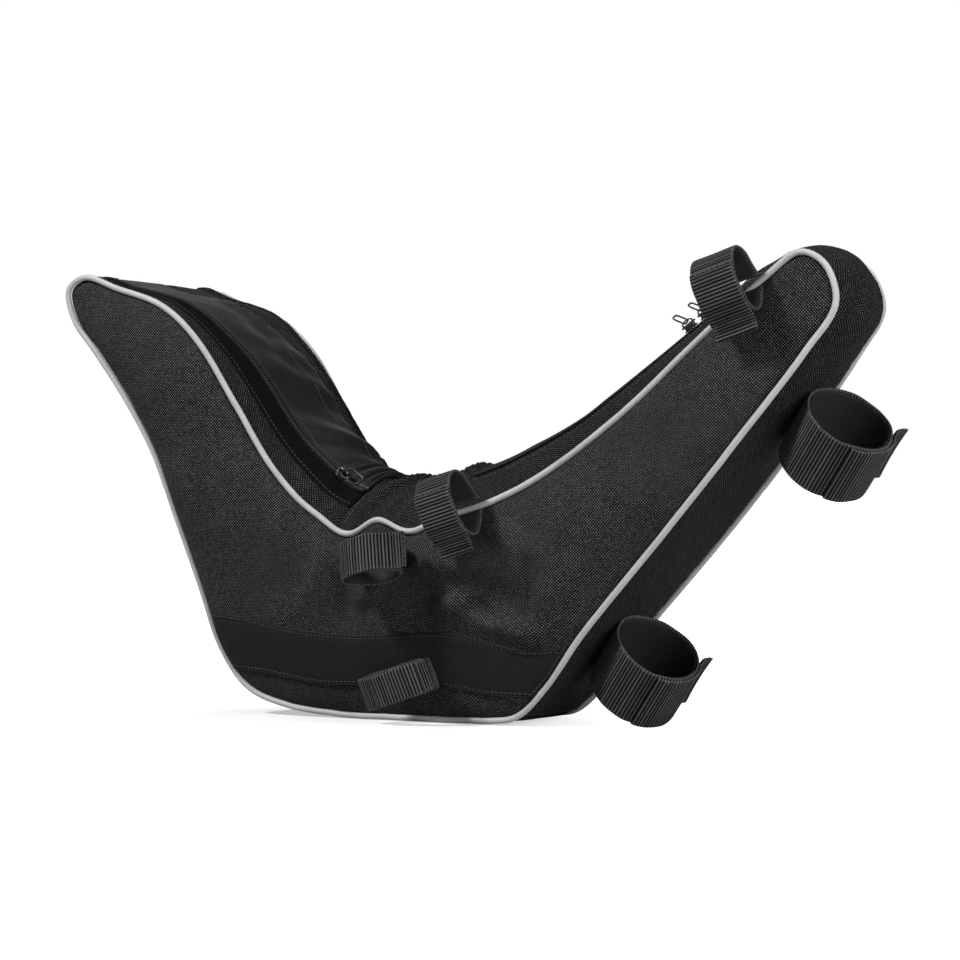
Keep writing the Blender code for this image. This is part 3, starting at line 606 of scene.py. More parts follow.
@dataclass(frozen=True)
class ReflectiveTape:
    """Pale grey reflective cloth over a round cord, with small cross creases and a trace of soil."""

    name: str
    grey: float
    crease: float = 0.0031
    waver: float = 9.0
    relief: float = 0.00009

    def material(self) -> Material:
        """Build it: the creases are a sine along the cord that a slow noise throws off its beat."""
        n = NodeSheet(self.name)
        along, _ = n.cloth()
        crease = (along * (TURN / self.crease) + n.noise(70.0) * self.waver).sine()
        grain = n.noise(1600.0, 2.0, 0.6)
        soil = n.noise(55.0, 6.0, 0.7).between(0.35, 0.72, 1.0, 0.8)
        level = soil * grain.between(0.3, 0.7, 0.93, 1.07) * self.grey
        return n.finish(
            Base_Color=n.grey(level, (0.985, 1.0, 1.0)),
            Roughness=grain.between(0.2, 0.8, 0.42, 0.6),
            Normal=n.bump(crease * 0.25 + grain, self.relief, 0.6),
            Specular_IOR_Level=0.5,
        )


@dataclass(frozen=True)
class HookTape:
    """Hook-and-loop tape: a dense field of small stiff tips."""

    name: str
    grey: float
    pitch: float = 0.0011

    def material(self) -> Material:
        """Build it: tips are the cells of a jittered grid over the cloth coordinates."""
        n = NodeSheet(self.name)
        cells = n.add("ShaderNodeTexVoronoi")
        n.feed(cells.inputs["Vector"], n.add("ShaderNodeUVMap", uv_map=CLOTH_MAP).outputs[0])
        cells.inputs["Scale"].default_value = 1.0 / self.pitch
        tips = Wire(n, cells.outputs["Distance"]).between(0.05, 0.55, 1.0, 0.0)
        return n.finish(Base_Color=n.grey((tips * 1.5 + 0.35) * self.grey), Roughness=0.72,
                        Normal=n.bump(tips, 0.0006, 0.8), Specular_IOR_Level=0.35)


@dataclass(frozen=True)
class DarkMetal:
    """Blackened zinc: satin, with brighter rubbed spots and fine scratches."""

    name: str
    grey: float

    def material(self) -> Material:
        """Build it: noise decides where the blackening is rubbed off."""
        n = NodeSheet(self.name)
        rub = n.noise(520.0, 4.0, 0.65).between(0.45, 0.75)
        return n.finish(Base_Color=n.grey((rub * 1.5 + 0.75) * self.grey), Metallic=1.0,
                        Roughness=rub.between(0.0, 1.0, 0.34, 0.22),
                        Normal=n.bump(n.noise(2600.0, 2.0), 0.00003, 0.5))


@dataclass(frozen=True)
class PlainPlastic:
    """Moulded black plastic or thread: even colour broken by a fine pressed grain."""

    name: str
    grey: float
    rough: float

    def material(self) -> Material:
        """Build it: one noise sets the grain, the shade and the gloss."""
        n = NodeSheet(self.name)
        grain = n.noise(900.0, 3.0, 0.6)
        return n.finish(Base_Color=n.grey(grain.between(0.3, 0.7, 0.8, 1.2) * self.grey),
                        Roughness=grain.between(0.3, 0.7, self.rough, self.rough + 0.15),
                        Normal=n.bump(grain, 0.00004, 0.4), Specular_IOR_Level=0.45)


class Finishes:
    """Every finish of the bag, made once."""

    def __init__(self) -> None:
        """Build the materials."""
        self.panel = WovenCloth("woven_panel", 0.03).material()
        self.gusset = WovenCloth("woven_gusset", 0.015, turn=8.0, pitch=0.00112).material()
        self.smooth = SmoothCloth("smooth_lid", 0.0072, 0.46, gloss=0.34).material()
        self.flap = SmoothCloth("smooth_flap", 0.0022, 0.62, gloss=0.07).material()
        # Zip tape: black cloth, darkened further as painted shade so that the slot beside the chain reads
        # dark.
        self.tape = SmoothCloth("zip_tape_and_slot_shade", 0.004, 0.7, grain=0.0007, relief=0.00012,
                                gloss=0.12).material()
        self.band = SmoothCloth("smooth_band", 0.0145, 0.72, grain=0.0011, relief=0.00012, gloss=0.16,
                                speckle=0.38).material()
        self.lining = SmoothCloth("lining_cloth", 0.07, 0.7, grain=0.0008, relief=0.0001).material()
        self.cord = ReflectiveTape("reflective_cord", 0.54).material()
        self.face = SmoothCloth("strap_face", 0.026, 0.62, gloss=0.2, speckle=0.2).material()
        self.hooks = HookTape("hook_tape", 0.02).material()
        self.metal = DarkMetal("dark_metal", 0.085).material()
        self.coil = PlainPlastic("zip_coil", 0.018, 0.36).material()
        self.thread = PlainPlastic("sewing_thread", 0.045, 0.5).material()
        self.board = PlainPlastic("base_board_sheet", 0.03, 0.55).material()
        self._webbing: dict[float, Material] = {}

    def webbing(self, width: float) -> Material:
        """Webbing of one width, whose selvedge lies at that width's edges."""
        if width not in self._webbing:
            name = "webbing_%d" % round(1000.0 * width)
            self._webbing[width] = RibbedWebbing(name, 0.0185, width).material()
        return self._webbing[width]


# The bag's own shape


class Side(Enum):
    """Which side of the bag, as the sign of y."""

    RIGHT = -1.0
    LEFT = 1.0

    @property
    def word(self) -> str:
        """The side's name in small letters."""
        return self.name.lower()


OUTLINE = (
    (-0.235, 0.291), (-0.249, 0.283), (-0.245, 0.263), (-0.226, 0.239), (-0.202, 0.206),
    (-0.183, 0.172), (-0.168, 0.128), (-0.154, 0.085), (-0.142, 0.044), (-0.124, 0.018),
    (-0.093, 0.007), (-0.062, 0.0034), (-0.044, 0.0023), (-0.015, 0.0023), (0.015, 0.0023),
    (0.044, 0.0023), (0.062, 0.0029), (0.08, 0.006), (0.1, 0.023),
    (0.131, 0.061), (0.185, 0.12), (0.236, 0.179), (0.279, 0.232), (0.297, 0.26),
    (0.288, 0.284), (0.271, 0.2915), (0.249, 0.277), (0.208, 0.241), (0.15, 0.191),
    (0.085, 0.149), (0.034, 0.1305), (-0.01, 0.1235), (-0.049, 0.128), (-0.086, 0.16),
    (-0.114, 0.203), (-0.143, 0.246), (-0.171, 0.27), (-0.209, 0.283),
)

CROWN = (
    (-0.183, 0.172, 0.002, 0.0), (-0.124, 0.018, 0.001, 0.55), (-0.044, 0.0023, 0.0023, 0.55),
    (0.044, 0.0023, 0.0023, 0.55), (0.08, 0.006, 0.0014, 0.55), (0.185, 0.12, 0.003, 0.0),
    (0.297, 0.26, 0.009, 0.0), (0.271, 0.2915, 0.006, 0.0), (0.236, 0.267, 0.014, 0.0),
    (0.14, 0.184, 0.025, 0.0), (0.085, 0.149, 0.03, 0.0), (0.02, 0.125, 0.031, 0.0),
    (-0.035, 0.1265, 0.033, 0.0), (-0.07, 0.145, 0.029, 0.0), (-0.114, 0.203, 0.018, 0.0),
    (-0.152, 0.256, 0.009, 0.0), (-0.235, 0.291, 0.001, 0.0),
)


@dataclass
class BagShape:
    """Outline of the bag's sides, with its widths and the crown of its gussets."""

    outline_height: float = 0.2915
    width_bottom: float = 0.076
    width_rear: tuple[float, float] = (0.126, 0.148)
    width_front: tuple[float, float] = (0.088, 0.06)
    blend_start: float = -0.024
    blend_length: float = 0.15
    sag_place: Place = (-0.1465, 0.2495)
    sag: float = 0.0065
    sag_reach: float = 0.118
    rumple_place: Place = (-0.01, 0.1235)
    rumple: float = 0.006
    rumple_spacing: float = 0.055
    rumple_reach: float = 0.036
    rumple_power: int = 6
    lane_turn: tuple[Place, Place] = ((-0.128, 0.225), (-0.2, 0.281))
    per_span: int = 20
    dense_step: float = 0.0005
    block: int = 1500

    def __post_init__(self) -> None:
        """Sample the outline and measure it."""
        self.points = self._spline(np.array(OUTLINE))
        steps = np.linalg.norm(np.roll(self.points, -1, axis=0) - self.points, axis=1)
        self.length = float(steps.sum())
        self.along = np.concatenate([[0.0], np.cumsum(steps)[:-1]])
        tangent = unit(np.roll(self.points, -1, axis=0) - np.roll(self.points, 1, axis=0))
        self.normals = np.stack([tangent[:, 1], -tangent[:, 0]], axis=1)
        self.dense = np.arange(0.0, self.length, self.dense_step)
        self.dense_points = self.outline(self.dense)
        places = sorted((self.station((x, z)), rise, flat) for x, z, rise, flat in CROWN)
        self.crown_at, self.crown_rise, self.crown_flat = np.array(places).T
        self.sag_at, self.rumple_at = self.station(self.sag_place), self.station(self.rumple_place)
        self.turn_at = tuple(self.station(place) for place in self.lane_turn)

    def _spline(self, points: Array) -> Array:
        """Closed centripetal spline: Barry and Goldman's pyramid of straight blends between four points."""
        p0, p2, p3 = (np.roll(points, shift, axis=0) for shift in (1, -1, -2))
        k1 = np.sqrt(np.linalg.norm(points - p0, axis=1))[:, None, None]
        k2 = k1 + np.sqrt(np.linalg.norm(p2 - points, axis=1))[:, None, None]
        k3 = k2 + np.sqrt(np.linalg.norm(p3 - p2, axis=1))[:, None, None]
        t = k1 + (k2 - k1) * np.linspace(0.0, 1.0, self.per_span, endpoint=False)[None, :, None]
        q0, q1, q2, q3 = (q[:, None, :] for q in (p0, points, p2, p3))
        a1 = q0 * (k1 - t) / k1 + q1 * t / k1
        a2 = q1 * (k2 - t) / (k2 - k1) + q2 * (t - k1) / (k2 - k1)
        a3 = q2 * (k3 - t) / (k3 - k2) + q3 * (t - k2) / (k3 - k2)
        b1 = a1 * (k2 - t) / k2 + a2 * t / k2
        b2 = a2 * (k3 - t) / (k3 - k1) + a3 * (t - k1) / (k3 - k1)
        return (b1 * (k2 - t) / (k2 - k1) + b2 * (t - k1) / (k2 - k1)).reshape(-1, 2)

    def _read(self, values: Array, s: Array) -> Array:
        """Pairs known at the outline's points, read at stations s."""
        s = np.mod(s, self.length)
        return np.stack([np.interp(s, self.along, row, period=self.length) for row in values.T], axis=-1)

    def outline(self, s: Array) -> Array:
        """Outline points (x, z) at stations s."""
        return self._read(self.points, s)

    def normal(self, s: Array) -> Array:
        """Outward normals (x, z) at stations s."""
        return unit(self._read(self.normals, s))

    def station(self, point: Sequence[float]) -> float:
        """Distance along the outline of its point nearest to (x, z)."""
        gaps = np.linalg.norm(self.dense_points - np.asarray(point), axis=1)
        return float(self.dense[int(np.argmin(gaps))])

    def gap_from(self, place: float, s: Array) -> Array:
        """Distance along the outline from a station on to stations s, at most half a round either way."""
        return np.mod(s - place + 0.5 * self.length, self.length) - 0.5 * self.length

    def shift(self, s: Array, share: Number) -> Array:
        """How far the cloth stands off the outline, share running from right (-1) to left (1).

        The left shoulder sags by a bell along the edge, in proportion to the share. Both edges rumple in the
        valley: a cosine along the edge under a bell, times a power of the share.
        """
        sag = self.sag * bell(self.gap_from(self.sag_at, s) / self.sag_reach)
        along = self.gap_from(self.rumple_at, s)
        wave = np.cos(TURN * along / self.rumple_spacing) * bell(along / self.rumple_reach)
        return self.rumple * wave * np.abs(share) ** self.rumple_power - sag * 0.5 * (1.0 + share)

    def edge(self, s: Array, side: float, inset: float = 0.0) -> Array:
        """Edge of one side (x, z) moved inward by an inset."""
        return self.outline(s) + self.normal(s) * (self.shift(s, side) - inset)[:, None]

    def lane(self, shares: Place, s: Array) -> Array:
        """Cross position of a line at two shares of the half width, eased to the second near the tip."""
        first, last = self.turn_at
        turned = ease((np.mod(s, self.length) - first) / (last - first))
        return (shares[0] * (1.0 - turned) + shares[1] * turned) * self.half_at(s)

    def nearest(self, xz: Array, side: float) -> tuple[Array, Array]:
        """Distance to one side's edge, and the nearest station, for each of many points (x, z)."""
        edge = self.edge(self.dense, side)
        flat = xz.reshape(-1, 2)
        gaps, stations = [], []
        for part in np.array_split(flat, max(1, len(flat) // self.block)):
            square = np.square(part[:, None] - edge[None]).sum(axis=2)
            index = np.argmin(square, axis=1)
            gaps.append(np.sqrt(square[np.arange(len(part)), index]))
            stations.append(self.dense[index])
        return np.concatenate(gaps).reshape(xz.shape[:-1]), np.concatenate(stations).reshape(xz.shape[:-1])

    def _eased(self, values: Array, s: Array) -> Array:
        """A value known at the crown's places, eased between them."""
        s = np.mod(s, self.length)
        at = np.concatenate([self.crown_at - self.length, self.crown_at, self.crown_at + self.length])
        values = np.tile(values, 3)
        index = np.clip(np.searchsorted(at, s) - 1, 0, len(at) - 2)
        share = ease((s - at[index]) / (at[index + 1] - at[index]))
        return values[index] * (1.0 - share) + values[index + 1] * share

    def crown(self, s: Array) -> Array:
        """Height of the gusset's middle above its cords."""
        return self._eased(self.crown_rise, s)

    def half_width(self, xz: Array) -> Array:
        """Half of the bag's width: a quadratic in height for each horn, eased from rear to front along x."""
        t = np.clip(xz[..., 1] / self.outline_height, 0.0, 1.02)
        rear, front = (self.width_bottom * (1.0 - t) * (1.0 - 2.0 * t) + 4.0 * mid * t * (1.0 - t)
                       + top * t * (2.0 * t - 1.0) for mid, top in (self.width_rear, self.width_front))
        share = ease((xz[..., 0] - self.blend_start) / self.blend_length)
        return 0.5 * (rear * (1.0 - share) + front * share)

    def half_at(self, s: Array) -> Array:
        """Half width at stations s."""
        return self.half_width(self.outline(s))

    def skin(self, s: Array, y: Array, lift: Number = 0.0) -> Array:
        """Points of the crowned gusset at stations s and cross positions y.

        Each is the outline plus its normal times (crown times one less b squared, plus lift). The value b is
        0 over the crown's flat middle and grows to 1 at the edges.
        """
        base = self.outline(s)
        flat = self._eased(self.crown_flat, s)
        share = np.clip(y / self.half_width(base), -1.0, 1.0)
        beside = np.clip((np.abs(share) - flat) / (1.0 - flat), 0.0, 1.0)
        rise = self.crown(s) * (1.0 - beside ** 2) + self.shift(s, share) + lift
        xz = base + self.normal(s) * np.asarray(rise)[..., None]
        return np.stack([xz[..., 0], np.broadcast_to(y, xz[..., 0].shape), xz[..., 1]], axis=-1)


@dataclass(frozen=True)
class Fold:
    """One crease or soft ridge in the cloth, from one end (x, z) to the other."""

    start: Place
    end: Place
    height: float
    near: float
    far: float
    bow: float = 0.0
    fade_power: float = 0.7

    def relief(self, xz: Array) -> Array:
        """Height over the cloth: a bell across the line, wider on one side, fading in and out along it."""
        start, end = np.array(self.start), np.array(self.end)
        span = end - start
        length = np.linalg.norm(span)
        way = span / length
        gap = xz - start
        arch = np.sin(np.pi * np.clip(gap @ way / length, 0.0, 1.0))
        across = gap @ np.array([-way[1], way[0]]) - self.bow * length * arch
        width = np.where(across > 0.0, self.far, self.near)
        return self.height * arch ** self.fade_power * bell(across / width)


# Stitches


@dataclass(frozen=True)
class Stitches:
    """Row of lock stitches: short plump threads laid end to end."""

    pitch: float = 0.0032
    length: float = 0.0026
    width: float = 0.00034
    height: float = 0.00028
    taper: float = 0.92

    def thread(self) -> Surface:
        """One stitch along x: its half width follows the square root of one less x squared."""
        x = np.linspace(-self.taper, self.taper, 5)
        swell_out = np.sqrt(1.0 - x * x)
        path = np.stack([0.5 * self.length * x, 0.0 * x, -0.3 * self.height * x * x], axis=1)
        return Surface.tube(path, Y_AXIS, Z_AXIS, self.width * swell_out, self.height * swell_out, 6, False)

    def row(self, line: Array, up: Array) -> Surface:
        """Stitches along a line.

        Args:
            line: Points of the seam line, on the surface.
            up: Surface normals at those points.

        Returns:
            Every stitch as one surface.
        """
        run = run_lengths(line)
        at = np.arange(0.5 * self.pitch, run[-1] - 0.4 * self.pitch, self.pitch)
        near = 0.3 * self.pitch
        spot, ahead, behind, rise = (
            np.stack([np.interp(where, run, values[:, k]) for k in range(3)], axis=1)
            for where, values in ((at, line), (at + near, line), (at - near, line), (at, up))
        )
        rise = unit(rise)
        return Surface.stamps(self.thread(), spot + 0.4 * self.height * rise, ahead - behind, rise)


# Side panels, bands, linings and cords


@dataclass
class SidePanel:
    """One side of the bag: padded woven panel, smooth lower band, lining and edge cord."""

    shape: BagShape
    finishes: Finishes
    side: Side
    folds: Sequence[Fold]
    seed: int
    tip: tuple[Place, Place] = ((-0.25, 0.279), (-0.227, 0.2885))
    nose: tuple[Place, Place] = ((0.298, 0.262), (0.274, 0.2915))
    inset: float = 0.0013
    belly: float = 0.011
    horn_ease: float = 0.16
    horn_fill: float = 0.62
    proud: float = 0.001
    tuck: float = 0.003
    tuck_reach: float = 0.003
    thickness: float = 0.0024
    floor_gap: float = 0.0003
    pucker: float = 0.0013
    slow_relief: float = 0.0011
    fine_relief: float = 0.00028
    lining_inset: float = 0.009
    lining_depth: float = 0.0036
    lining_fill: float = 0.8
    lining_slack: float = 0.0008
    lining_wall: float = 0.0007
    band_lift: float = 0.0013
    band_seam: float = 0.0024
    band_groove: float = 0.0005
    band_hem: float = 0.00045
    cord_radius: float = 0.002
    cord_wander: float = 0.00014
    cord_stitches: float = 430.0
    along: int = 420
    across: int = 120

    def patch(self, inset: float, u: Array, t: Array) -> Array:
        """Coons patch inside the outline: the two ruled surfaces less the one through the four corners."""
        shape = self.shape
        tip_low, tip_top = (shape.station(p) for p in self.tip)
        nose_low, nose_top = (shape.station(p) for p in self.nose)

        def moved(s: Array) -> Array:
            """The side's edge at stations s, moved inward."""
            return shape.edge(s, self.side.value, inset)

        under = moved(tip_low + u * ((nose_low - tip_low) % shape.length))
        over = moved(nose_top + (1.0 - u) * ((tip_top - nose_top) % shape.length))
        tip = moved(tip_low - t * ((tip_low - tip_top) % shape.length))
        nose = moved(nose_low + t * ((nose_top - nose_low) % shape.length))
        uu, tt = u[:, None, None], t[None, :, None]
        ruled = (1.0 - tt) * under[:, None] + tt * over[:, None] + (1.0 - uu) * tip[None] + uu * nose[None]
        corners = ((1.0 - uu) * (1.0 - tt) * under[0] + uu * (1.0 - tt) * under[-1]
                   + (1.0 - uu) * tt * over[0] + uu * tt * over[-1])
        return ruled - corners

    def fullness(self, u: Array, t: Array, power: float = 0.66) -> Array:
        """How full the panel is: a power of a sine across it, eased in at both horns."""
        u, t = u[:, None], t[None, :]
        ends = ease(u / self.horn_ease) * ease((1.0 - u) / self.horn_ease)
        middle = self.horn_fill + (1.0 - self.horn_fill) * np.sin(np.pi * u) ** 2
        return np.sin(np.pi * t) ** power * ends * middle

    def relief(self, xz: Array, gap: Array, station: Array) -> Array:
        """Folds, seam puckers and slow unevenness of the cloth, fading out towards the cord."""
        total = np.zeros(xz.shape[:-1])
        for fold in self.folds:
            total += fold.relief(xz)
        pucker = ripple(station, self.seed, 0.021, 4) * fading(gap, 0.011) * (1.0 - fading(gap, 0.003))
        strength = 0.55 + 0.45 * ripple(station, self.seed + 1, 0.31, 3)
        slow = self.slow_relief * swell(xz[..., 0], xz[..., 1], self.seed + 2, 0.105)
        fine = self.fine_relief * swell(xz[..., 0], xz[..., 1], self.seed + 3, 0.034)
        fade = 1.0 - fading(gap, 0.01)
        return total * fade + self.pucker * pucker * strength + (slow + fine) * fade

    def survey(self) -> None:
        """Work out the panel's grid, its outer points, its normals and its cloth coordinates."""
        u, t = crowd(self.along, 0.45), crowd(self.across, 0.86)
        self.xz = self.patch(self.inset, u, t)
        gap, station = self.shape.nearest(self.xz, self.side.value)
        gap = np.maximum(gap - self.inset, 0.0)
        depth = self.proud + self.belly * self.fullness(u, t) - self.tuck * fading(gap, self.tuck_reach)
        self.depth = depth + self.relief(self.xz, gap, station)
        self.outer = self.points(self.xz, self.depth)
        self.normals = grid_normals(self.outer)
        flip = np.sign((self.normals[..., 1] * self.side.value).sum())
        self.normals = self.normals * flip
        self.cloth = self.unrolled(self.outer, self.xz)

    @staticmethod
    def unrolled(points: Array, xz: Array) -> Array:
        """Cloth coordinates: each column's steps in (x, z), stretched to the cloth's own length.

        They count from the column's middle, which keeps its place (x, z).
        """
        step = np.diff(xz, axis=1)
        flat = np.maximum(np.linalg.norm(step, axis=2), 1e-9)
        true = np.linalg.norm(np.diff(points, axis=1), axis=2)
        stretched = step * (true / flat)[..., None]
        total = np.concatenate([np.zeros((len(xz), 1, 2)), np.cumsum(stretched, axis=1)], axis=1)
        middle = xz.shape[1] // 2
        return total - total[:, middle:middle + 1] + xz[:, middle:middle + 1]

    def points(self, xz: Array, depth: Array) -> Array:
        """Points on the side at a depth outside the cord's plane."""
        y = self.side.value * (self.shape.half_width(xz) + depth)
        return np.stack([xz[..., 0], y, xz[..., 1]], axis=-1)

    def grounded(self, points: Array) -> Array:
        """Keep points above the floor."""
        points = points.copy()
        points[..., 2] = np.maximum(points[..., 2], self.floor_gap)
        return points

    def make_panel(self) -> None:
        """Padded woven panel, closed front and back."""
        inner = self.points(self.xz, self.depth - self.thickness)
        surface = Surface.slab(self.grounded(self.outer), self.grounded(inner), self.cloth)
        panel = surface.to_object("panel_" + self.side.word, self.finishes.panel)
        settle(panel, "bag", "woven", ["side_panel_" + self.side.word])

    def make_lining(self) -> None:
        """Thin grey lining that hangs behind the panel."""
        u, t = crowd(120, 0.3), crowd(36, 0.5)
        xz = self.patch(self.lining_inset, u, t)
        slack = self.lining_slack * swell(xz[..., 0], xz[..., 1], self.seed + 9, 0.06)
        depth = -self.lining_depth + self.lining_fill * self.belly * self.fullness(u, t, 0.8) + slack
        outer, inner = (self.points(xz, depth - wall) for wall in (0.0, self.lining_wall))
        surface = Surface.slab(outer, inner, self.unrolled(outer, xz))
        lining = surface.to_object("inner_lining_" + self.side.word, self.finishes.lining)
        self.area(outer)
        settle(lining, "bag", "lining", ["lining_" + self.side.word])

    @staticmethod
    def area(points: Array) -> float:
        """Area of a grid of points: half the cross product of each cell's diagonals, summed."""
        first = points[1:, 1:] - points[:-1, :-1]
        second = points[1:, :-1] - points[:-1, 1:]
        return float(0.5 * np.linalg.norm(np.cross(first, second), axis=2).sum())

    @staticmethod
    def band_edge(knots: Sequence[Place], x: Array, reach: float = 0.013) -> Array:
        """Height of a band edge: straight lines between the knots, averaged over a short reach."""
        knots_x, heights = np.array(knots).T
        spots = x[:, None] + np.linspace(-reach, reach, 15)[None, :]
        return np.interp(spots, knots_x, heights).mean(axis=1)

    @staticmethod
    def share_at(grid: Array, height: Array) -> Array:
        """Share of the way across at which each row of a grid (x, z) reaches its own height."""
        shares = np.linspace(0.0, 1.0, grid.shape[1])
        return np.array([np.interp(z, row[:, 1], shares) for row, z in zip(grid, height)])

    def make_band(self) -> None:
        """Smooth band sewn low across the panel, with a stitch row inside both long edges."""
        lowest = self.xz[:, 0, :]
        top = self.band_edge(BAND_TOP, lowest[:, 0])
        low = np.maximum(lowest[:, 1] + 0.0016, self.band_edge(BAND_LOW, lowest[:, 0]))
        low = np.minimum(low, top - 0.002)
        keep = np.flatnonzero(lowest[:, 1] < top - 0.006)
        span = crowd(34, 0.75)[None, :]
        from_low, from_top = (self.share_at(self.xz, edge)[:, None] for edge in (low, top))
        column = (from_low * (1.0 - span) + from_top * span) * (self.across - 1)
        row = np.broadcast_to(np.arange(self.along)[:, None], column.shape)
        xz, normal, cloth, depth = (read_grid(values, row, column)[keep] for values in (
            self.xz, self.normals, self.cloth, self.depth[..., None]))
        height = top[keep, None] - low[keep, None]
        from_edge = np.minimum(span, 1.0 - span) * height
        ends = np.minimum(np.arange(len(keep)), np.arange(len(keep))[::-1])[:, None] / 5.0
        lift = self.band_lift * (1.0 - fading(from_edge, 0.0006)) * np.clip(ends, 0.15, 1.0)
        lift = lift - self.band_groove * bell((from_edge - self.band_seam) / 0.0007)
        lift = lift + self.band_hem * bell((from_edge - 0.0008) / 0.0006)
        base = self.points(xz, depth[..., 0])
        outer, inner = base + normal * (lift + 0.0001)[..., None], base - normal * 0.0002
        band = Surface.slab(outer, inner, cloth).to_object("band_" + self.side.word, self.finishes.band)
        rows = []
        every = np.arange(len(keep))
        for level in (low[keep] + self.band_seam, top[keep] - self.band_seam):
            place = self.share_at(xz, level) * (xz.shape[1] - 1)
            before = np.clip(place.astype(int), 0, xz.shape[1] - 2)
            rows.append(Stitches().row(read_grid(outer, every, place), normal[every, before]))
        name = "band_stitches_" + self.side.word
        thread = Surface.join(rows).to_object(name, self.finishes.thread, weld=True)
        flat = (0.3, 0.05)
        min(flat[0] * flat[1], self.area(outer))
        settle(band, "bag", "band", ["lower_band_" + self.side.word], thread)

    def make_cord(self) -> None:
        """Reflective edge cord, drawn in a little at every needle hole."""
        length = self.shape.length
        s = np.linspace(0.0, length, 900, endpoint=False)
        normal = self.shape.normal(s)
        centre = self.shape.skin(s, self.side.value * self.shape.half_at(s))
        wander = self.cord_wander * ripple(s * length / round(length, 3), self.seed + 5, 0.09, 4)
        out = np.stack([normal[:, 0], 0.0 * s, normal[:, 1]], axis=1)
        radius = self.cord_radius * (1.0 + 0.018 * np.cos(TURN * s / (length / self.cord_stitches)))
        surface = Surface.tube(centre + out * wander[:, None], out, Y_AXIS, radius, radius, 14, True)
        surface.points[:, 2] = np.maximum(surface.points[:, 2], 0.0001)
        cord = surface.to_object("piping_" + self.side.word, self.finishes.cord)
        settle(cord, "bag", "cord", ["edge_cord_" + self.side.word])

    def make(self) -> None:
        """Build every piece of this side."""
        self.survey()
        self.make_panel()
        self.make_lining()
        self.make_band()
        self.make_cord()


# Strips on the gusset


class Edge(Enum):
    """How a strip's long edge is finished."""

    SEWN = "tucked under the cord"
    FOLDED = "folded over and stitched"
    PLAIN = "flat"


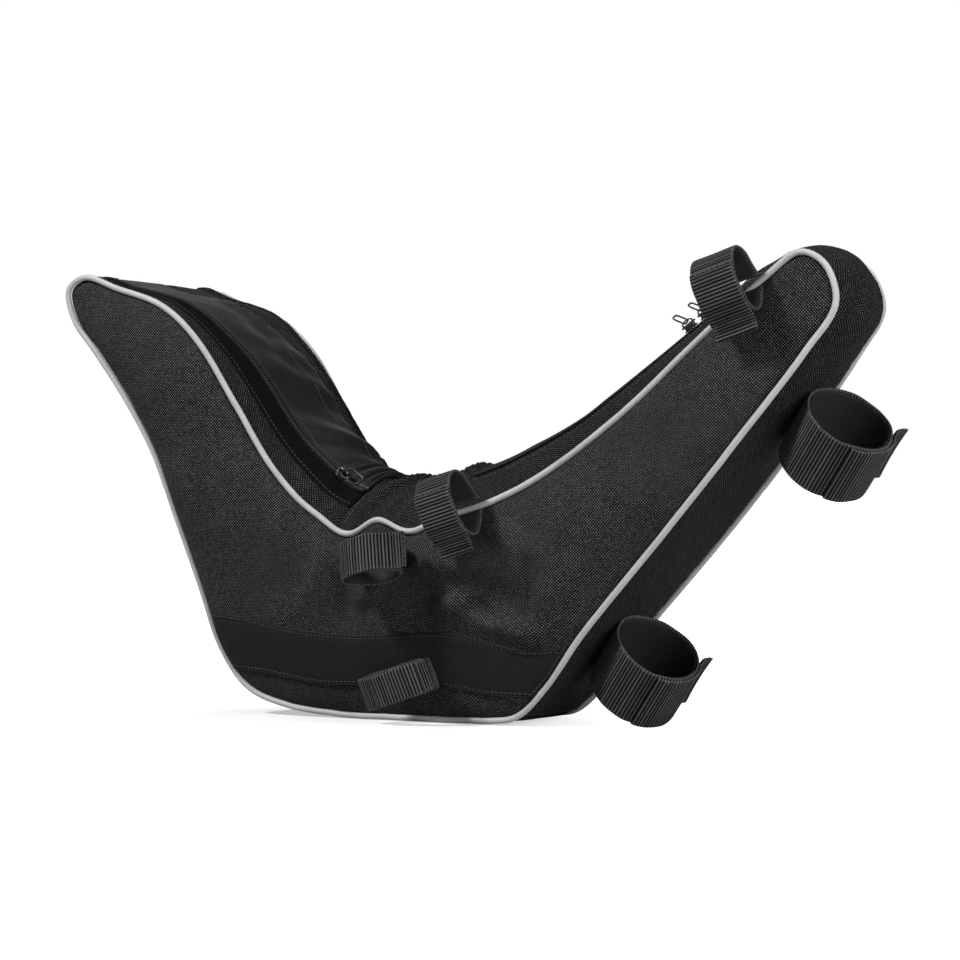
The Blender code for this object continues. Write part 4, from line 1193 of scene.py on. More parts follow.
@dataclass
class Strip:
    """Strip of cloth on the gusset, between two cross positions."""

    shape: BagShape
    stations: Array
    low: Array
    high: Array
    lift: float = 0.0
    thickness: float = 0.0018
    columns: int = 44
    low_edge: Edge = Edge.SEWN
    high_edge: Edge = Edge.SEWN
    seam_ends: tuple[bool, bool] = (True, True)
    wrinkle: float = 0.0005
    seed: int = 1
    extra: Optional[Callable[[Array, Array], Array]] = None
    held_edges: bool = False
    crowded: float = 0.7
    tuck: float = 0.0026
    pucker: float = 0.0009
    roll: float = 0.0004
    stitch_pitch: float = 0.0015

    def __post_init__(self) -> None:
        """Work out the grid: cross positions, lifts, points and cloth coordinates."""
        self.low, self.high = (np.broadcast_to(edge, self.stations.shape) for edge in (self.low, self.high))
        s = self.stations[:, None]
        share = crowd(self.columns, self.crowded)[None, :]
        low, high = self.low[:, None], self.high[:, None]
        self.y = low + (high - low) * share
        self.s = np.broadcast_to(s, self.y.shape)
        lift = np.full(self.y.shape, self.lift)
        from_low, from_high = self.y - low, high - self.y
        lift += self.edge_relief(from_low, self.low_edge) + self.edge_relief(from_high, self.high_edge)
        inside = np.minimum(from_low, from_high)
        fade = 1.0 - fading(np.maximum(inside, 0.0), 0.006)
        lift += self.wrinkle * swell(self.s, self.y, self.seed, 0.055) * fade
        for at_end, gap in zip(self.seam_ends, (s - s[0], s[-1] - s)):
            if at_end:
                lift += -0.0013 * fading(gap, 0.0016) + 0.0005 * bell((gap - 0.0045) / 0.002)
        if self.extra is not None:
            lift += self.extra(self.s, self.y) * (fade if self.held_edges else 1.0)
        self.lifts = lift
        self.outer = self.shape.skin(self.s, self.y, lift)
        across = run_lengths(self.outer)
        middle = across[:, self.columns // 2][:, None]
        centre = self.y[:, self.columns // 2][:, None]
        self.cloth = np.stack([self.s, across - middle + centre], axis=-1)

    def edge_relief(self, gap: Array, edge: Edge) -> Array:
        """Lift near a long edge, by the gap from it.

        A sewn edge dips under the cord with uneven puckers; a folded one has a roll and a stitch groove.
        """
        gap = np.maximum(gap, 0.0)
        if edge is Edge.SEWN:
            pucker = ripple(self.s, self.seed + 31, 0.019, 4) * fading(gap, 0.009)
            pucker = pucker * (1.0 - fading(gap, 0.002))
            return -self.tuck * fading(gap, 0.0021) + self.pucker * pucker
        if edge is Edge.FOLDED:
            rise = self.roll * bell((gap - 0.0011) / 0.0009) - 0.0006 * fading(gap, 0.00035)
            return rise - self.roll * bell((gap - 0.0028) / 0.0005)
        return np.zeros_like(gap)

    def surface(self, lowest: Optional[float] = None) -> Surface:
        """Closed wall of cloth, kept above the floor if a lowest height is given."""
        inner = self.shape.skin(self.s, self.y, self.lifts - self.thickness)
        outer = self.outer
        if lowest is not None:
            outer, inner = outer.copy(), inner.copy()
            outer[..., 2] = np.maximum(outer[..., 2], lowest)
            inner[..., 2] = np.maximum(inner[..., 2], lowest + 0.0004)
        return Surface.slab(outer, inner, self.cloth)

    def edges_at(self, s: Number) -> tuple[Array, Array]:
        """Cross positions of both long edges at stations s."""
        return np.interp(s, self.stations, self.low), np.interp(s, self.stations, self.high)

    def long_row(self, gap: float, from_low: bool) -> Surface:
        """Stitches along the strip, at a gap from one long edge."""
        first, last = self.stations[0], self.stations[-1]
        fine = np.linspace(first + 0.001, last - 0.001, max(8, int((last - first) / self.stitch_pitch)))
        low, high = self.edges_at(fine)
        return Stitches().row(*self.read(fine, low + gap if from_low else high - gap))

    def cross_row(self, station: float, margin: float = 0.003) -> Surface:
        """Stitches across the strip at a station."""
        low, high = self.edges_at(station)
        low, high = float(low) + margin, float(high) - margin
        y = np.linspace(low, high, max(6, int((high - low) / self.stitch_pitch)))
        return Stitches().row(*self.read(np.full_like(y, station), y))

    def read(self, s: Array, y: Array) -> tuple[Array, Array]:
        """Points and outward normals of the strip's outer face at stations and cross positions."""
        low, high = self.edges_at(s)
        shares = crowd(self.columns, self.crowded)
        column = np.interp((y - low) / (high - low), shares, np.arange(self.columns))
        row = np.interp(s, self.stations, np.arange(len(self.stations)))
        i = np.clip(row.astype(int), 0, len(self.stations) - 2)
        k = np.clip(column.astype(int), 0, self.columns - 2)
        normal = grid_normals(self.outer)[i, k]
        out = self.shape.normal(s)
        sign = np.sign(normal[:, 0] * out[:, 0] + normal[:, 2] * out[:, 1])
        return read_grid(self.outer, row, column), normal * np.where(sign == 0.0, 1.0, sign)[:, None]


def stations_between(shape: BagShape, start: float, end: float, pitch: float) -> Array:
    """Even stations from start on to end, counting round the outline."""
    span = (end - start) % shape.length
    return start + span * np.linspace(0.0, 1.0, max(4, int(round(span / pitch)) + 1))


@dataclass
class Gussets:
    """Woven gussets from cord to cord: rear, bottom, tube side, nose and valley."""

    shape: BagShape
    finishes: Finishes
    cord_overlap: float = 0.0012
    runs: dict[str, tuple[Place, Place]] = field(default_factory=lambda: {
        "rear": ((-0.243, 0.289), (-0.124, 0.018)),
        "bottom": ((-0.124, 0.018), (0.08, 0.006)),
        "tube_side": ((0.08, 0.006), (0.294, 0.25)),
        "nose": ((0.294, 0.25), (0.263, 0.288)),
        "valley": ((0.046, 0.132), (-0.042, 0.128)),
    })
    crease: float = 0.005
    pitch: float = 0.0018
    seam_row: float = 0.0042

    def valley_creases(self, s: Array, y: Array) -> Array:
        """Cross creases where the top cloth is squeezed in the valley: a wave along s, stronger mid-width."""
        share = np.clip(y / self.shape.half_at(s), -1.0, 1.0)
        wave = ripple(s + 0.35 * y, 77, 0.03, 4)
        return self.crease * wave * (1.0 - 0.5 * share ** 2)

    def make(self) -> None:
        """Build each gusset and the stitch rows at its seams."""
        for number, (name, (start, end)) in enumerate(self.runs.items()):
            s = stations_between(self.shape, self.shape.station(start), self.shape.station(end), self.pitch)
            edge = self.shape.half_at(s) - self.cord_overlap
            floor_side = name in ("bottom", "rear", "tube_side")
            ends = (name != "nose", name != "tube_side")
            strip = Strip(self.shape, s, -edge, edge, columns=56, seed=11 + 7 * number, seam_ends=ends,
                          wrinkle=0.00025 if name == "bottom" else 0.0007,
                          extra=self.valley_creases if name == "valley" else None)
            cloth = strip.surface(0.0002 if floor_side else None)
            piece = cloth.to_object("cloth_gusset_" + name, self.finishes.gusset)
            length = float(s[-1] - s[0])
            width = float(2.0 * edge.max())
            places = (s[0] + self.seam_row, s[-1] - self.seam_row)
            rows = Surface.join([strip.cross_row(at) for at, sewn in zip(places, ends) if sewn])
            thread = rows.to_object("gusset_stitches_" + name, self.finishes.thread, weld=True)
            min(SidePanel.area(strip.outer), width * length * 1.08)
            settle(piece, "bag", "woven", ["gusset_" + name], thread)


# Zips


@dataclass
class ZipFastener:
    """One zip: cloth tape and two interlocked rows of coil."""

    shape: BagShape
    finishes: Finishes
    label: str
    shares: Place
    stations: Array
    half_tape: float = 0.0056
    half_chain: float = 0.0026
    pitch: float = 0.0017
    rib: float = 0.0011
    chain_lift: float = 0.0006
    wire: float = 0.00042

    def centre(self, s: Array) -> Array:
        """Cross position of the zip."""
        return self.shape.lane(self.shares, s)

    def tape_lift(self, s: Array, y: Array) -> Array:
        """Tape's relief: fine ribs along it, a sine across the tape."""
        return 0.00012 * np.sin(TURN * (y - self.centre(s)) / self.rib)

    def make_tape(self) -> None:
        """Tape as a thin strip, flat at both edges."""
        middle = self.centre(self.stations)
        strip = Strip(self.shape, self.stations, middle - self.half_tape, middle + self.half_tape,
                      lift=-0.0002, thickness=0.0007, columns=44, low_edge=Edge.PLAIN, high_edge=Edge.PLAIN,
                      seam_ends=(False, False), wrinkle=0.0, extra=self.tape_lift, crowded=0.0)
        tape = strip.surface().to_object("tape_" + self.label, self.finishes.tape)
        settle(tape, "bag", "smooth", ["zip_tape_" + self.label])

    def tooth(self, way: float) -> Surface:
        """One turn of coil: a low arch from the tape to just past the middle, drawn along y."""
        t = np.linspace(0.0, 1.0, 8)
        y = way * (self.half_chain * (1.0 - 1.34 * t))
        z = 0.00085 * np.sin(np.pi * np.clip(0.1 + 0.86 * t, 0.0, 1.0)) ** 0.6
        path = np.stack([0.00022 * (t - 0.5), y, z], axis=1)
        tangent = unit(np.gradient(path, axis=0))
        lift = unit(np.cross(X_AXIS, tangent) * way)
        size = self.wire * (0.75 + 0.45 * bell((t - 0.82) / 0.22))
        return Surface.tube(path, X_AXIS, lift, size, size * 0.95, 6, False)

    def at(self, s: Array, beside: float = 0.0) -> Array:
        """Points of the chain's line at stations s, or beside it."""
        return self.shape.skin(s, self.centre(s) + beside, self.chain_lift)

    def make_chain(self) -> None:
        """Two rows of teeth, half a pitch apart, over the tape's middle."""
        step = 0.002
        start, end = self.stations[0] + step, self.stations[-1] - step
        parts = []
        for way, shift in ((-1.0, 0.0), (1.0, 0.5)):
            s = np.arange(start + shift * self.pitch, end, self.pitch)
            along = unit(self.at(s + step) - self.at(s - step))
            beside = self.at(s, step) - self.at(s, -step)
            up = unit(np.cross(along, beside))
            out = self.shape.normal(s)
            up = up * np.sign(up[:, 0] * out[:, 0] + up[:, 2] * out[:, 1])[:, None]
            if np.dot(np.cross(up[0], along[0]), beside[0]) < 0.0:
                along = -along
            parts.append(Surface.stamps(self.tooth(way), self.at(s), along, up))
        chain = Surface.join(parts).to_object("coil_" + self.label, self.finishes.coil, weld=True, sharp=80.0)
        settle(chain, "bag", "coil", ["zip_chain_" + self.label])

    def make(self) -> None:
        """Build the zip."""
        self.make_tape()
        self.make_chain()


@dataclass
class ZipSlider:
    """Metal zip slider with its wire pull."""

    shape: BagShape
    finishes: Finishes
    label: str
    shares: Place
    station: float
    pull_length: float
    pull_tilt: float
    pull_way: float
    length: float = 0.0105
    height: float = 0.0052
    width: float = 0.0074
    clearance: float = 0.0014
    eye_rise: float = 0.0012
    wire: float = 0.0012
    skin_lift: float = 0.0019
    corner: float = 0.62
    ring_corner: float = 0.42

    def frame(self) -> tuple[Array, Array, Array, Array]:
        """Middle of the slider and its along, across and up directions."""
        def point(s: float, dy: float = 0.0) -> Array:
            """A point over the zip at a station, or beside it."""
            at = np.array([s])
            return self.shape.skin(at, self.shape.lane(self.shares, at) + dy, self.skin_lift)[0]

        origin = point(self.station)
        along = unit(point(self.station + 0.004) - point(self.station - 0.004))
        up = unit(np.cross(along, point(self.station, 0.002) - point(self.station, -0.002)))
        normal = self.shape.normal(np.array([self.station]))[0]
        if up[0] * normal[0] + up[2] * normal[1] < 0.0:
            up = -up
        return origin + up * (self.clearance + 0.5 * self.height), along, np.cross(up, along), up

    def loops(self) -> Array:
        """Stack of outlines from the lower plate to the upper one, each wide ahead and slim behind.

        Each is a rounded rectangle whose width swells with the cosine of the turn. A level gives the height
        under the upper plate's top, in millimetres, and the size of the outline there.
        """
        turn = np.linspace(0.0, TURN, 40, endpoint=False)
        x, y = squared_off(turn, self.corner)
        y = y * (1.0 + 0.13 * np.cos(turn) - 0.04 * np.cos(2.0 * turn))
        levels = (
            (-3.9, 0.0), (-3.9, 0.8), (-3.7, 0.93), (-3.2, 0.96), (-3.0, 0.9), (-2.9, 0.72), (-1.2, 0.72),
            (-1.1, 0.92), (-0.85, 0.99), (-0.25, 0.99), (0.0, 0.93), (0.12, 0.8), (0.2, 0.0),
        )
        z, scale = np.array(levels).T[:, :, None]
        x, y = 0.5 * self.length * scale * x, 0.5 * self.width * scale * y * 0.94
        return np.stack(np.broadcast_arrays(x, y, z / 1000.0), axis=-1)

    def bridge(self) -> Surface:
        """Arched bar over the pull's crossbar: half an ellipse along the slider."""
        t = np.linspace(0.0, np.pi, 18)
        path = np.stack([-0.0037 * np.cos(t), 0.0 * t, 0.0001 + 0.0023 * np.sin(t) ** 0.75], axis=1)
        tangent = unit(np.gradient(path, axis=0))
        lift = unit(np.cross(tangent, Y_AXIS))
        return Surface.tube(path, Y_AXIS, lift, 0.0012 + 0.0003 * np.sin(t), 0.00042, 10, False)

    def make_body(self, middle: Array, axes: Array) -> None:
        """Two plates on a neck, with the bridge on top."""
        stack = self.loops()
        cloth = np.zeros((stack.shape[0], stack.shape[1] + 1, 2))
        parts = Surface.join([Surface.grid(stack, cloth, wrap_columns=True), self.bridge()])
        parts.points = middle + parts.points @ axes
        body = parts.to_object("zip_runner_" + self.label, self.finishes.metal, weld=True, sharp=40.0)
        settle(body, "zip_slider_" + self.label, "metal", ["slider_" + self.label])

    def make_pull(self, middle: Array, axes: Array) -> None:
        """Rounded rectangle of wire, slightly flattened, its crossbar in the slider's eye."""
        along, across, up = axes
        pivot = middle + up * self.eye_rise
        angle = math.radians(self.pull_tilt)
        reach = unit(self.pull_way * math.cos(angle) * along + math.sin(angle) * up)
        half = 0.5 * (self.width + 2.0 * (0.0006 + self.wire))
        a, b = squared_off(np.linspace(0.0, TURN, 88, endpoint=False), self.ring_corner)
        a = 0.5 * self.pull_length * (1.0 + a)
        b = half * b * (1.0 - 0.1 * a / self.pull_length)
        path = pivot + a[:, None] * reach + b[:, None] * across
        tangent = unit(np.roll(path, -1, axis=0) - np.roll(path, 1, axis=0))
        lift = np.cross(reach, across)
        ring = Surface.tube(path, np.cross(tangent, lift), lift, 0.5 * self.wire, 0.46 * self.wire, 12, True)
        pull = ring.to_object("zip_ring_" + self.label, self.finishes.metal, sharp=80.0)
        settle(pull, "zip_pull_" + self.label, "metal", ["pull_" + self.label])

    def make(self) -> None:
        """Build the slider and its pull."""
        middle, along, across, up = self.frame()
        axes = np.stack([along, across, up])
        self.make_body(middle, axes)
        self.make_pull(middle, axes)


@dataclass
class HornTops:
    """Tops of both horns: woven strips, zips, smooth lid, zip garage and tip seam."""

    shape: BagShape
    finishes: Finishes
    rear_right: Place = (-0.55, -0.72)
    rear_left: Place = (0.77, 0.77)
    front: Place = (-0.45, -0.45)
    flap_seam: Place = (-0.8, -0.88)
    lid_seam: Place = (0.54, 0.14)
    cord_overlap: float = 0.0012
    garage_length: float = 0.036
    park: float = 0.03
    front_margin: float = 0.066
    slider_pitch: float = 0.0128
    seam_gap: float = 0.0006
    lid_margin: float = 0.006
    hinge_gap: float = 0.0014
    pitch: float = 0.0018
    lid_pitch: float = 0.0013
    chain_gap: float = 0.003
    hem_row: float = 0.0028

    def __post_init__(self) -> None:
        """Find the stations of the seams."""
        shape = self.shape
        self.nose_top = shape.station((0.263, 0.288))
        self.valley_front = shape.station((0.046, 0.132))
        self.valley_rear = shape.station((-0.042, 0.128))
        tip = shape.station((-0.243, 0.289))
        self.tip = tip if tip > self.valley_rear else tip + shape.length

    def add_strip(self, strip: Strip, name: str, material: Material, slot: str, node: str,
                  body: str, rows: Sequence[Surface]) -> None:
        """Make one strip with its stitches and settle both.

        Args:
            strip: The strip.
            name: Name of the piece.
            material: Its material.
            slot: Slot name, handed on to settle.
            node: CAD node that it stands for, or nothing.
            body: Body that carries it.
            rows: Stitch rows that are sewn on it.
        """
        piece = strip.surface().to_object(name, material)
        area = SidePanel.area(strip.outer)
        thread = []
        if rows:
            thread = [Surface.join(rows).to_object(name + "_stitches", self.finishes.thread, weld=True)]
        settle(piece, body, slot, [node] if node else [], *thread)

    def make_front(self) -> None:
        """Front horn: a narrow and a wide woven strip with the zip between them."""
        s = stations_between(self.shape, self.nose_top, self.valley_front, self.pitch)
        edge = self.shape.half_at(s) - self.cord_overlap
        middle = self.shape.lane(self.front, s)
        inner = 0.0042
        right = Strip(self.shape, s, -edge, middle - inner, lift=0.0006, columns=30, high_edge=Edge.FOLDED,
                      seed=61)
        left = Strip(self.shape, s, middle + inner, edge, lift=0.0006, columns=50, low_edge=Edge.FOLDED,
                     seed=67)
        for name, strip, from_low in (("right", right, False), ("left", left, True)):
            self.add_strip(strip, "front_top_" + name, self.finishes.gusset, "woven",
                           "front_top_strip_" + name, "bag", [strip.long_row(self.hem_row, from_low)])
        ZipFastener(self.shape, self.finishes, "front", self.front, s).make()
        top = self.nose_top + self.front_margin + 0.5 * self.seam_gap
        for label, at in (("front_upper", top), ("front_lower", top + self.slider_pitch)):
            ZipSlider(self.shape, self.finishes, label, self.front, at, 0.0085, 62.0, 1.0).make()

    def lid_waves(self, s: Array, y: Array) -> Array:
        """Lid's loose cloth: slow cross waves, deeper towards the valley, and one long soft hollow."""
        run = (s - self.valley_rear) / (self.tip - self.valley_rear)
        share = y / self.shape.half_at(s)
        wave = ripple(s + 0.45 * y, 19, 0.075, 3)
        hollow = bell((share - 0.18 + 0.25 * run) / 0.16) * ease((run - 0.25) / 0.3) * ease((1.0 - run) / 0.3)
        return (0.0058 * np.square(1.0 - run) + 0.0006) * wave - 0.002 * hollow

    def garage_folds(self, s: Array, y: Array) -> Array:
        """Cross folds of the zip garage: rounded ridges along s, each leaning over the next."""
        run = (s - self.valley_rear) / self.garage_length
        ridge = np.abs(np.sin(np.pi * (3.2 * run + 0.25 - 3.0 * y))) ** 0.4
        return 0.006 * (ridge - 0.3) * np.sin(np.pi * np.clip(run, 0.0, 1.0)) ** 0.3

    def flap_rise(self, s: Array, y: Array) -> Array:
        """Near flap: slow waves along its free edge beside the chain."""
        gap = self.shape.lane(self.rear_right, s) - y
        return 0.0006 * bell(gap / 0.007) * ripple(s, 5, 0.04, 3)

    def far_rise(self, s: Array, y: Array) -> Array:
        """Far strip: rises over the far half of its chain."""
        gap = y - self.shape.lane(self.rear_left, s)
        return 0.0022 * ease((0.0062 - gap) / 0.0045)

    def make_flaps(self, s: Array) -> None:
        """Rear horn's side strips: narrow woven one and smooth flap near, woven one far."""
        edge = self.shape.half_at(s) - self.cord_overlap
        seam, right, left = (self.shape.lane(lane, s)
                             for lane in (self.flap_seam, self.rear_right, self.rear_left))
        near = Strip(self.shape, s, -edge, seam + 0.001, lift=0.0004, columns=30, high_edge=Edge.PLAIN,
                     seed=71)
        flap = Strip(self.shape, s, seam, right - 0.0034, lift=0.0009, thickness=0.0008, columns=40,
                     low_edge=Edge.FOLDED, high_edge=Edge.FOLDED, seed=79, extra=self.flap_rise)
        far = Strip(self.shape, s, left + 0.0004, edge, lift=0.0006, thickness=0.0012, columns=30,
                    low_edge=Edge.FOLDED, seed=73, extra=self.far_rise)
        woven, smooth = self.finishes.gusset, self.finishes.flap
        self.add_strip(near, "rear_top_near", woven, "woven", "rear_top_strip_right", "bag", [])
        self.add_strip(flap, "near_zip_flap", smooth, "smooth", "", "bag", [flap.long_row(0.0022, True)])
        self.add_strip(far, "rear_top_far", woven, "woven", "rear_top_strip_left", "bag",
                       [far.long_row(0.007, True)])

    def make_rear(self) -> None:
        """Rear horn: side strips, two zips, the lid between them, the garage and the tip seam.

        Each row of the table gives a piece's CAD node, its name, its first and last station, its relief, slot
        and body, its lift, the lanes of its two long edges with their gaps, and how these are finished.
        """
        start, end = self.valley_rear + 0.5 * self.seam_gap, self.tip
        s = stations_between(self.shape, start, end, self.pitch)
        self.make_flaps(s)
        for label, shares in (("rear_right", self.rear_right), ("rear_left", self.rear_left)):
            ZipFastener(self.shape, self.finishes, label, shares, s).make()
            ZipSlider(self.shape, self.finishes, label, shares, start + self.park, 0.0135, 8.0, -1.0).make()
        garage_end = start + self.garage_length
        lid_end = end - self.lid_margin
        right, left, seam, gap = self.rear_right, self.rear_left, self.lid_seam, self.chain_gap
        both = (Edge.FOLDED, Edge.FOLDED)
        runs = (
            ("zip_garage", "garage_cloth", start, garage_end - 0.0004, self.garage_folds, "smooth", "bag",
             0.0004, (right, gap, left, -gap), both),
            ("lid", "lid_cloth", garage_end, lid_end, self.lid_waves, "smooth", "lid",
             0.0009, (right, gap, seam, -0.0003), (Edge.FOLDED, Edge.SEWN)),
            ("", "lid_far_cloth", garage_end, lid_end, self.lid_waves, "woven", "lid",
             0.0009, (seam, 0.0003, left, -gap), (Edge.SEWN, Edge.FOLDED)),
            ("tip_seam", "tip_cloth", lid_end + self.hinge_gap, end, None, "woven", "bag",
             0.0004, (right, gap, left, -gap), both),
        )
        for node, name, first, last, extra, slot, body, lift, lanes, edges in runs:
            run = stations_between(self.shape, first, last, self.lid_pitch)
            low = self.shape.lane(lanes[0], run) + lanes[1]
            high = self.shape.lane(lanes[2], run) + lanes[3]
            strip = Strip(self.shape, run, low, high, lift=lift, thickness=0.0015, columns=64,
                          low_edge=edges[0], high_edge=edges[1], seam_ends=(False, False), extra=extra,
                          wrinkle=0.0003, seed=83, held_edges=True)
            material = self.finishes.gusset if slot == "woven" else self.finishes.smooth
            rows = []
            if slot == "smooth":
                rows = [strip.long_row(self.hem_row, True), strip.long_row(0.004, False)]
            if node == "lid":
                rows.append(strip.cross_row(run[0] + 0.003))
                part = run[:len(run) // 2]
                rows.append(Stitches().row(*strip.read(part, (low + 0.66 * (high - low))[:len(part)])))
            self.add_strip(strip, name, material, slot, node, body, rows)

    def make(self) -> None:
        """Build both tops."""
        self.make_front()
        self.make_rear()


# Straps


@dataclass(frozen=True)
class StrapPlan:
    """Place and size of one strap.

    The lane is -1 for a strap on the right side and 0 for one on the gusset's middle. Reach and half are the
    loop's half sizes away from the bag and beside it, angles are in degrees, and cut is half the opening that
    the edge cord passes through, in radians.
    """

    name: str
    at: Place
    lane: float
    lift: float
    axis: Point
    width: float
    reach: float
    half: float
    tail_angle: float
    tail_lift: float
    tail: float
    cut: float = 0.0


STRAPS = (
    StrapPlan("strap_top_front", (0.236, 0.268), -1.0, 0.0055, (0.95, 0.0, 0.31), 0.029, 0.014, 0.0175,
              60.0, 38.0, 0.016, cut=0.17),
    StrapPlan("strap_top_valley", (0.051, 0.134), -1.0, 0.0014, (0.95, 0.0, 0.31), 0.024, 0.0175, 0.0185,
              60.0, 38.0, 0.014, cut=0.17),
    StrapPlan("strap_side_upper", (-0.001, 0.1235), -1.0, -0.026, (-0.22, 0.38, 0.95), 0.024, 0.0125, 0.0178,
              62.0, 34.0, 0.012),
    StrapPlan("strap_side_lower", (0.0075, 0.003), -1.0, -0.0255, (-0.3, 0.0, 0.955), 0.021, 0.0085, 0.0215,
              62.0, 34.0, 0.012),
    StrapPlan("strap_tube_lower", (0.1264, 0.0554), 0.0, 0.0, (0.62, -0.26, 0.74), 0.041, 0.025, 0.026,
              40.0, 34.0, 0.016),
    StrapPlan("strap_tube_upper", (0.2535, 0.2), 0.0, 0.0, (0.61, -0.3, 0.73), 0.041, 0.025, 0.0265,
              40.0, 34.0, 0.018),
)


@dataclass
class Strap:
    """Hook-and-loop strap: webbing ring, soft inner face, overlapping end and its free tail."""

    shape: BagShape
    finishes: Finishes
    plan: StrapPlan
    webbing: float = 0.0018
    face: float = 0.001
    face_gap: float = 0.0003
    cord_radius: float = 0.0023
    belly: float = 0.011
    stand_off: float = 0.0014
    overlap: float = 88.0
    cord_sink: float = 0.0044
    core: float = 0.03
    edge_thin: float = 0.00045
    edge_sag: float = 0.0004
    face_inset: float = 0.0018

    def __post_init__(self) -> None:
        """Find the loop's centre and directions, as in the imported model."""
        plan, shape = self.plan, self.shape
        s = np.array([shape.station(plan.at)])
        normal, base = shape.normal(s)[0], shape.outline(s)[0]
        wall = self.face + self.face_gap + self.webbing
        self.reach, self.half = plan.reach + wall, plan.half + wall
        self.axis = unit(np.array(plan.axis))
        if plan.lane == 0.0:
            self.out = np.array([normal[0], 0.0, normal[1]])
            foot = np.array([base[0], 0.0, base[1]]) + self.out * shape.crown(s)[0]
        else:
            self.out = np.array([0.0, plan.lane, 0.0])
            spot = base + normal * (plan.lift + shape.shift(s, plan.lane))
            step = 0.5 * plan.width * self.axis[[0, 2]]
            slope = (shape.half_width(spot + step) - shape.half_width(spot - step)) / plan.width
            self.axis = unit(self.axis + np.array([0.0, plan.lane * slope, 0.0]))
            depth = shape.half_width(spot) + self.cord_radius
            if plan.lift < 0.0:
                depth += self.belly * min(1.0, -plan.lift / 0.03)
            foot = np.array([spot[0], plan.lane * depth, spot[1]])
        self.across = unit(np.cross(self.axis, self.out))
        self.out = np.cross(self.across, self.axis)
        self.sewn = foot
        self.centre = foot + self.out * (self.stand_off + self.reach)

    def ring(self, inward: Number, turn: Array) -> Array:
        """Points of the loop: an ellipse, pressed out to the bag at its sewn side."""
        back = np.mod(turn, TURN) - np.pi
        sink = self.cord_sink if self.plan.cut else 0.0
        press = (self.stand_off + 0.0003 + sink) * bell(back / 0.42)
        away = (self.reach - inward) * np.cos(turn) - press
        beside = (self.half - inward) * np.sin(turn)
        return self.centre + away[..., None] * self.out + beside[..., None] * self.across

    def band(self, turn: Array, raised: Array, thickness: float, width: float,
             columns: int = 26) -> tuple[Array, Array, Array]:
        """Outer and inner grids of a band that follows the ring.

        The band is swept along the axis, thinner at its two edges, with a slight uneven sag of both edges.

        Args:
            turn: Angles along the band.
            raised: Height of the band's outer face outside the ring's, at each angle.
            thickness: Its thickness.
            width: Its width along the axis.
            columns: Points across it.

        Returns:
            Outer grid, inner grid and cloth coordinates.
        """
        v = (crowd(columns, 0.82) - 0.5)[None, :] * width
        edge = 0.5 * width - np.abs(v)
        line = self.ring(-raised, turn)
        out = unit(line - self.ring(self.core, turn))
        run = run_lengths(line)
        seed = int(1000 * self.plan.at[0]) % 97 + 3
        drift = self.edge_sag * ripple(run, seed, 0.06, 3)[:, None] * (np.abs(v) / width) * 2.0
        thin = 0.00042 * fading(edge, self.edge_thin)
        axis_shift = 0.0004 * ripple(run, 23, 0.045, 3)[:, None]
        middle = line[:, None] + (v + axis_shift)[..., None] * self.axis
        outer = middle + (drift - thin)[..., None] * out[:, None]
        inner = middle + (drift - thickness + thin)[..., None] * out[:, None]
        cloth = np.stack(np.broadcast_arrays(run[:, None], v), axis=-1)
        return outer, inner, cloth

    @staticmethod
    def turns(count: int, cut: float) -> Array:
        """Angles right round the loop, from one side of the cut to the other."""
        return np.linspace(cut - np.pi, np.pi - cut, count)

    def wall(self, outer: Array, inner: Array, cloth: Array) -> Surface:
        """Closed ring of cloth, or one whose ends lie on both sides of the edge cord."""
        if self.plan.cut:
            return Surface.slab(outer, inner, cloth)
        return Surface.slab(outer[:-1], inner[:-1], cloth, ring=True)

    def make_loop(self) -> None:
        """Closed webbing ring with the overlapping end laid over it, cut square and stitched."""
        plan = self.plan
        turn = self.turns(181, plan.cut)
        outer, inner, cloth = self.band(turn, np.zeros_like(turn), self.webbing, plan.width)
        ring = self.wall(outer, inner, cloth)
        last = math.radians(plan.tail_angle)
        over = np.linspace(last - math.radians(self.overlap), last, 70)
        raised = 0.00035 + self.webbing - 0.0008 * fading(over - over[0], 0.05)
        second = Surface.slab(*self.band(over, raised, 0.0016, plan.width - 0.0008))
        loop = Surface.join([ring, second])
        loop = loop.to_object(plan.name + "_webbing", self.finishes.webbing(plan.width))
        rows = []
        for angle, lift in ((over[0] + 0.1, raised[4] + 0.0001), (over[0] + 0.24, raised[8] + 0.0001)):
            rows.append(self.axis_row(angle, -lift, plan.width - 0.006))
        for angle in (np.pi - 0.42, np.pi + 0.42):
            rows.append(self.axis_row(angle, 0.0, plan.width - 0.006))
        thread = Surface.join(rows).to_object(plan.name + "_stitches", self.finishes.thread, weld=True)
        settle(loop, plan.name, "webbing", [plan.name + "_loop"], thread)

    def axis_row(self, angle: float, inward: float, width: float, inside: bool = False) -> Surface:
        """Stitches across the band at one angle, on its outer or inner face."""
        point = self.ring(np.array([inward]), np.array([angle]))[0]
        core = self.ring(np.array([self.core]), np.array([angle]))[0]
        out = unit(point - core) * (-1.0 if inside else 1.0)
        v = np.linspace(-0.5 * width, 0.5 * width, 24)
        return Stitches().row(point + v[:, None] * self.axis, np.tile(out, (len(v), 1)))

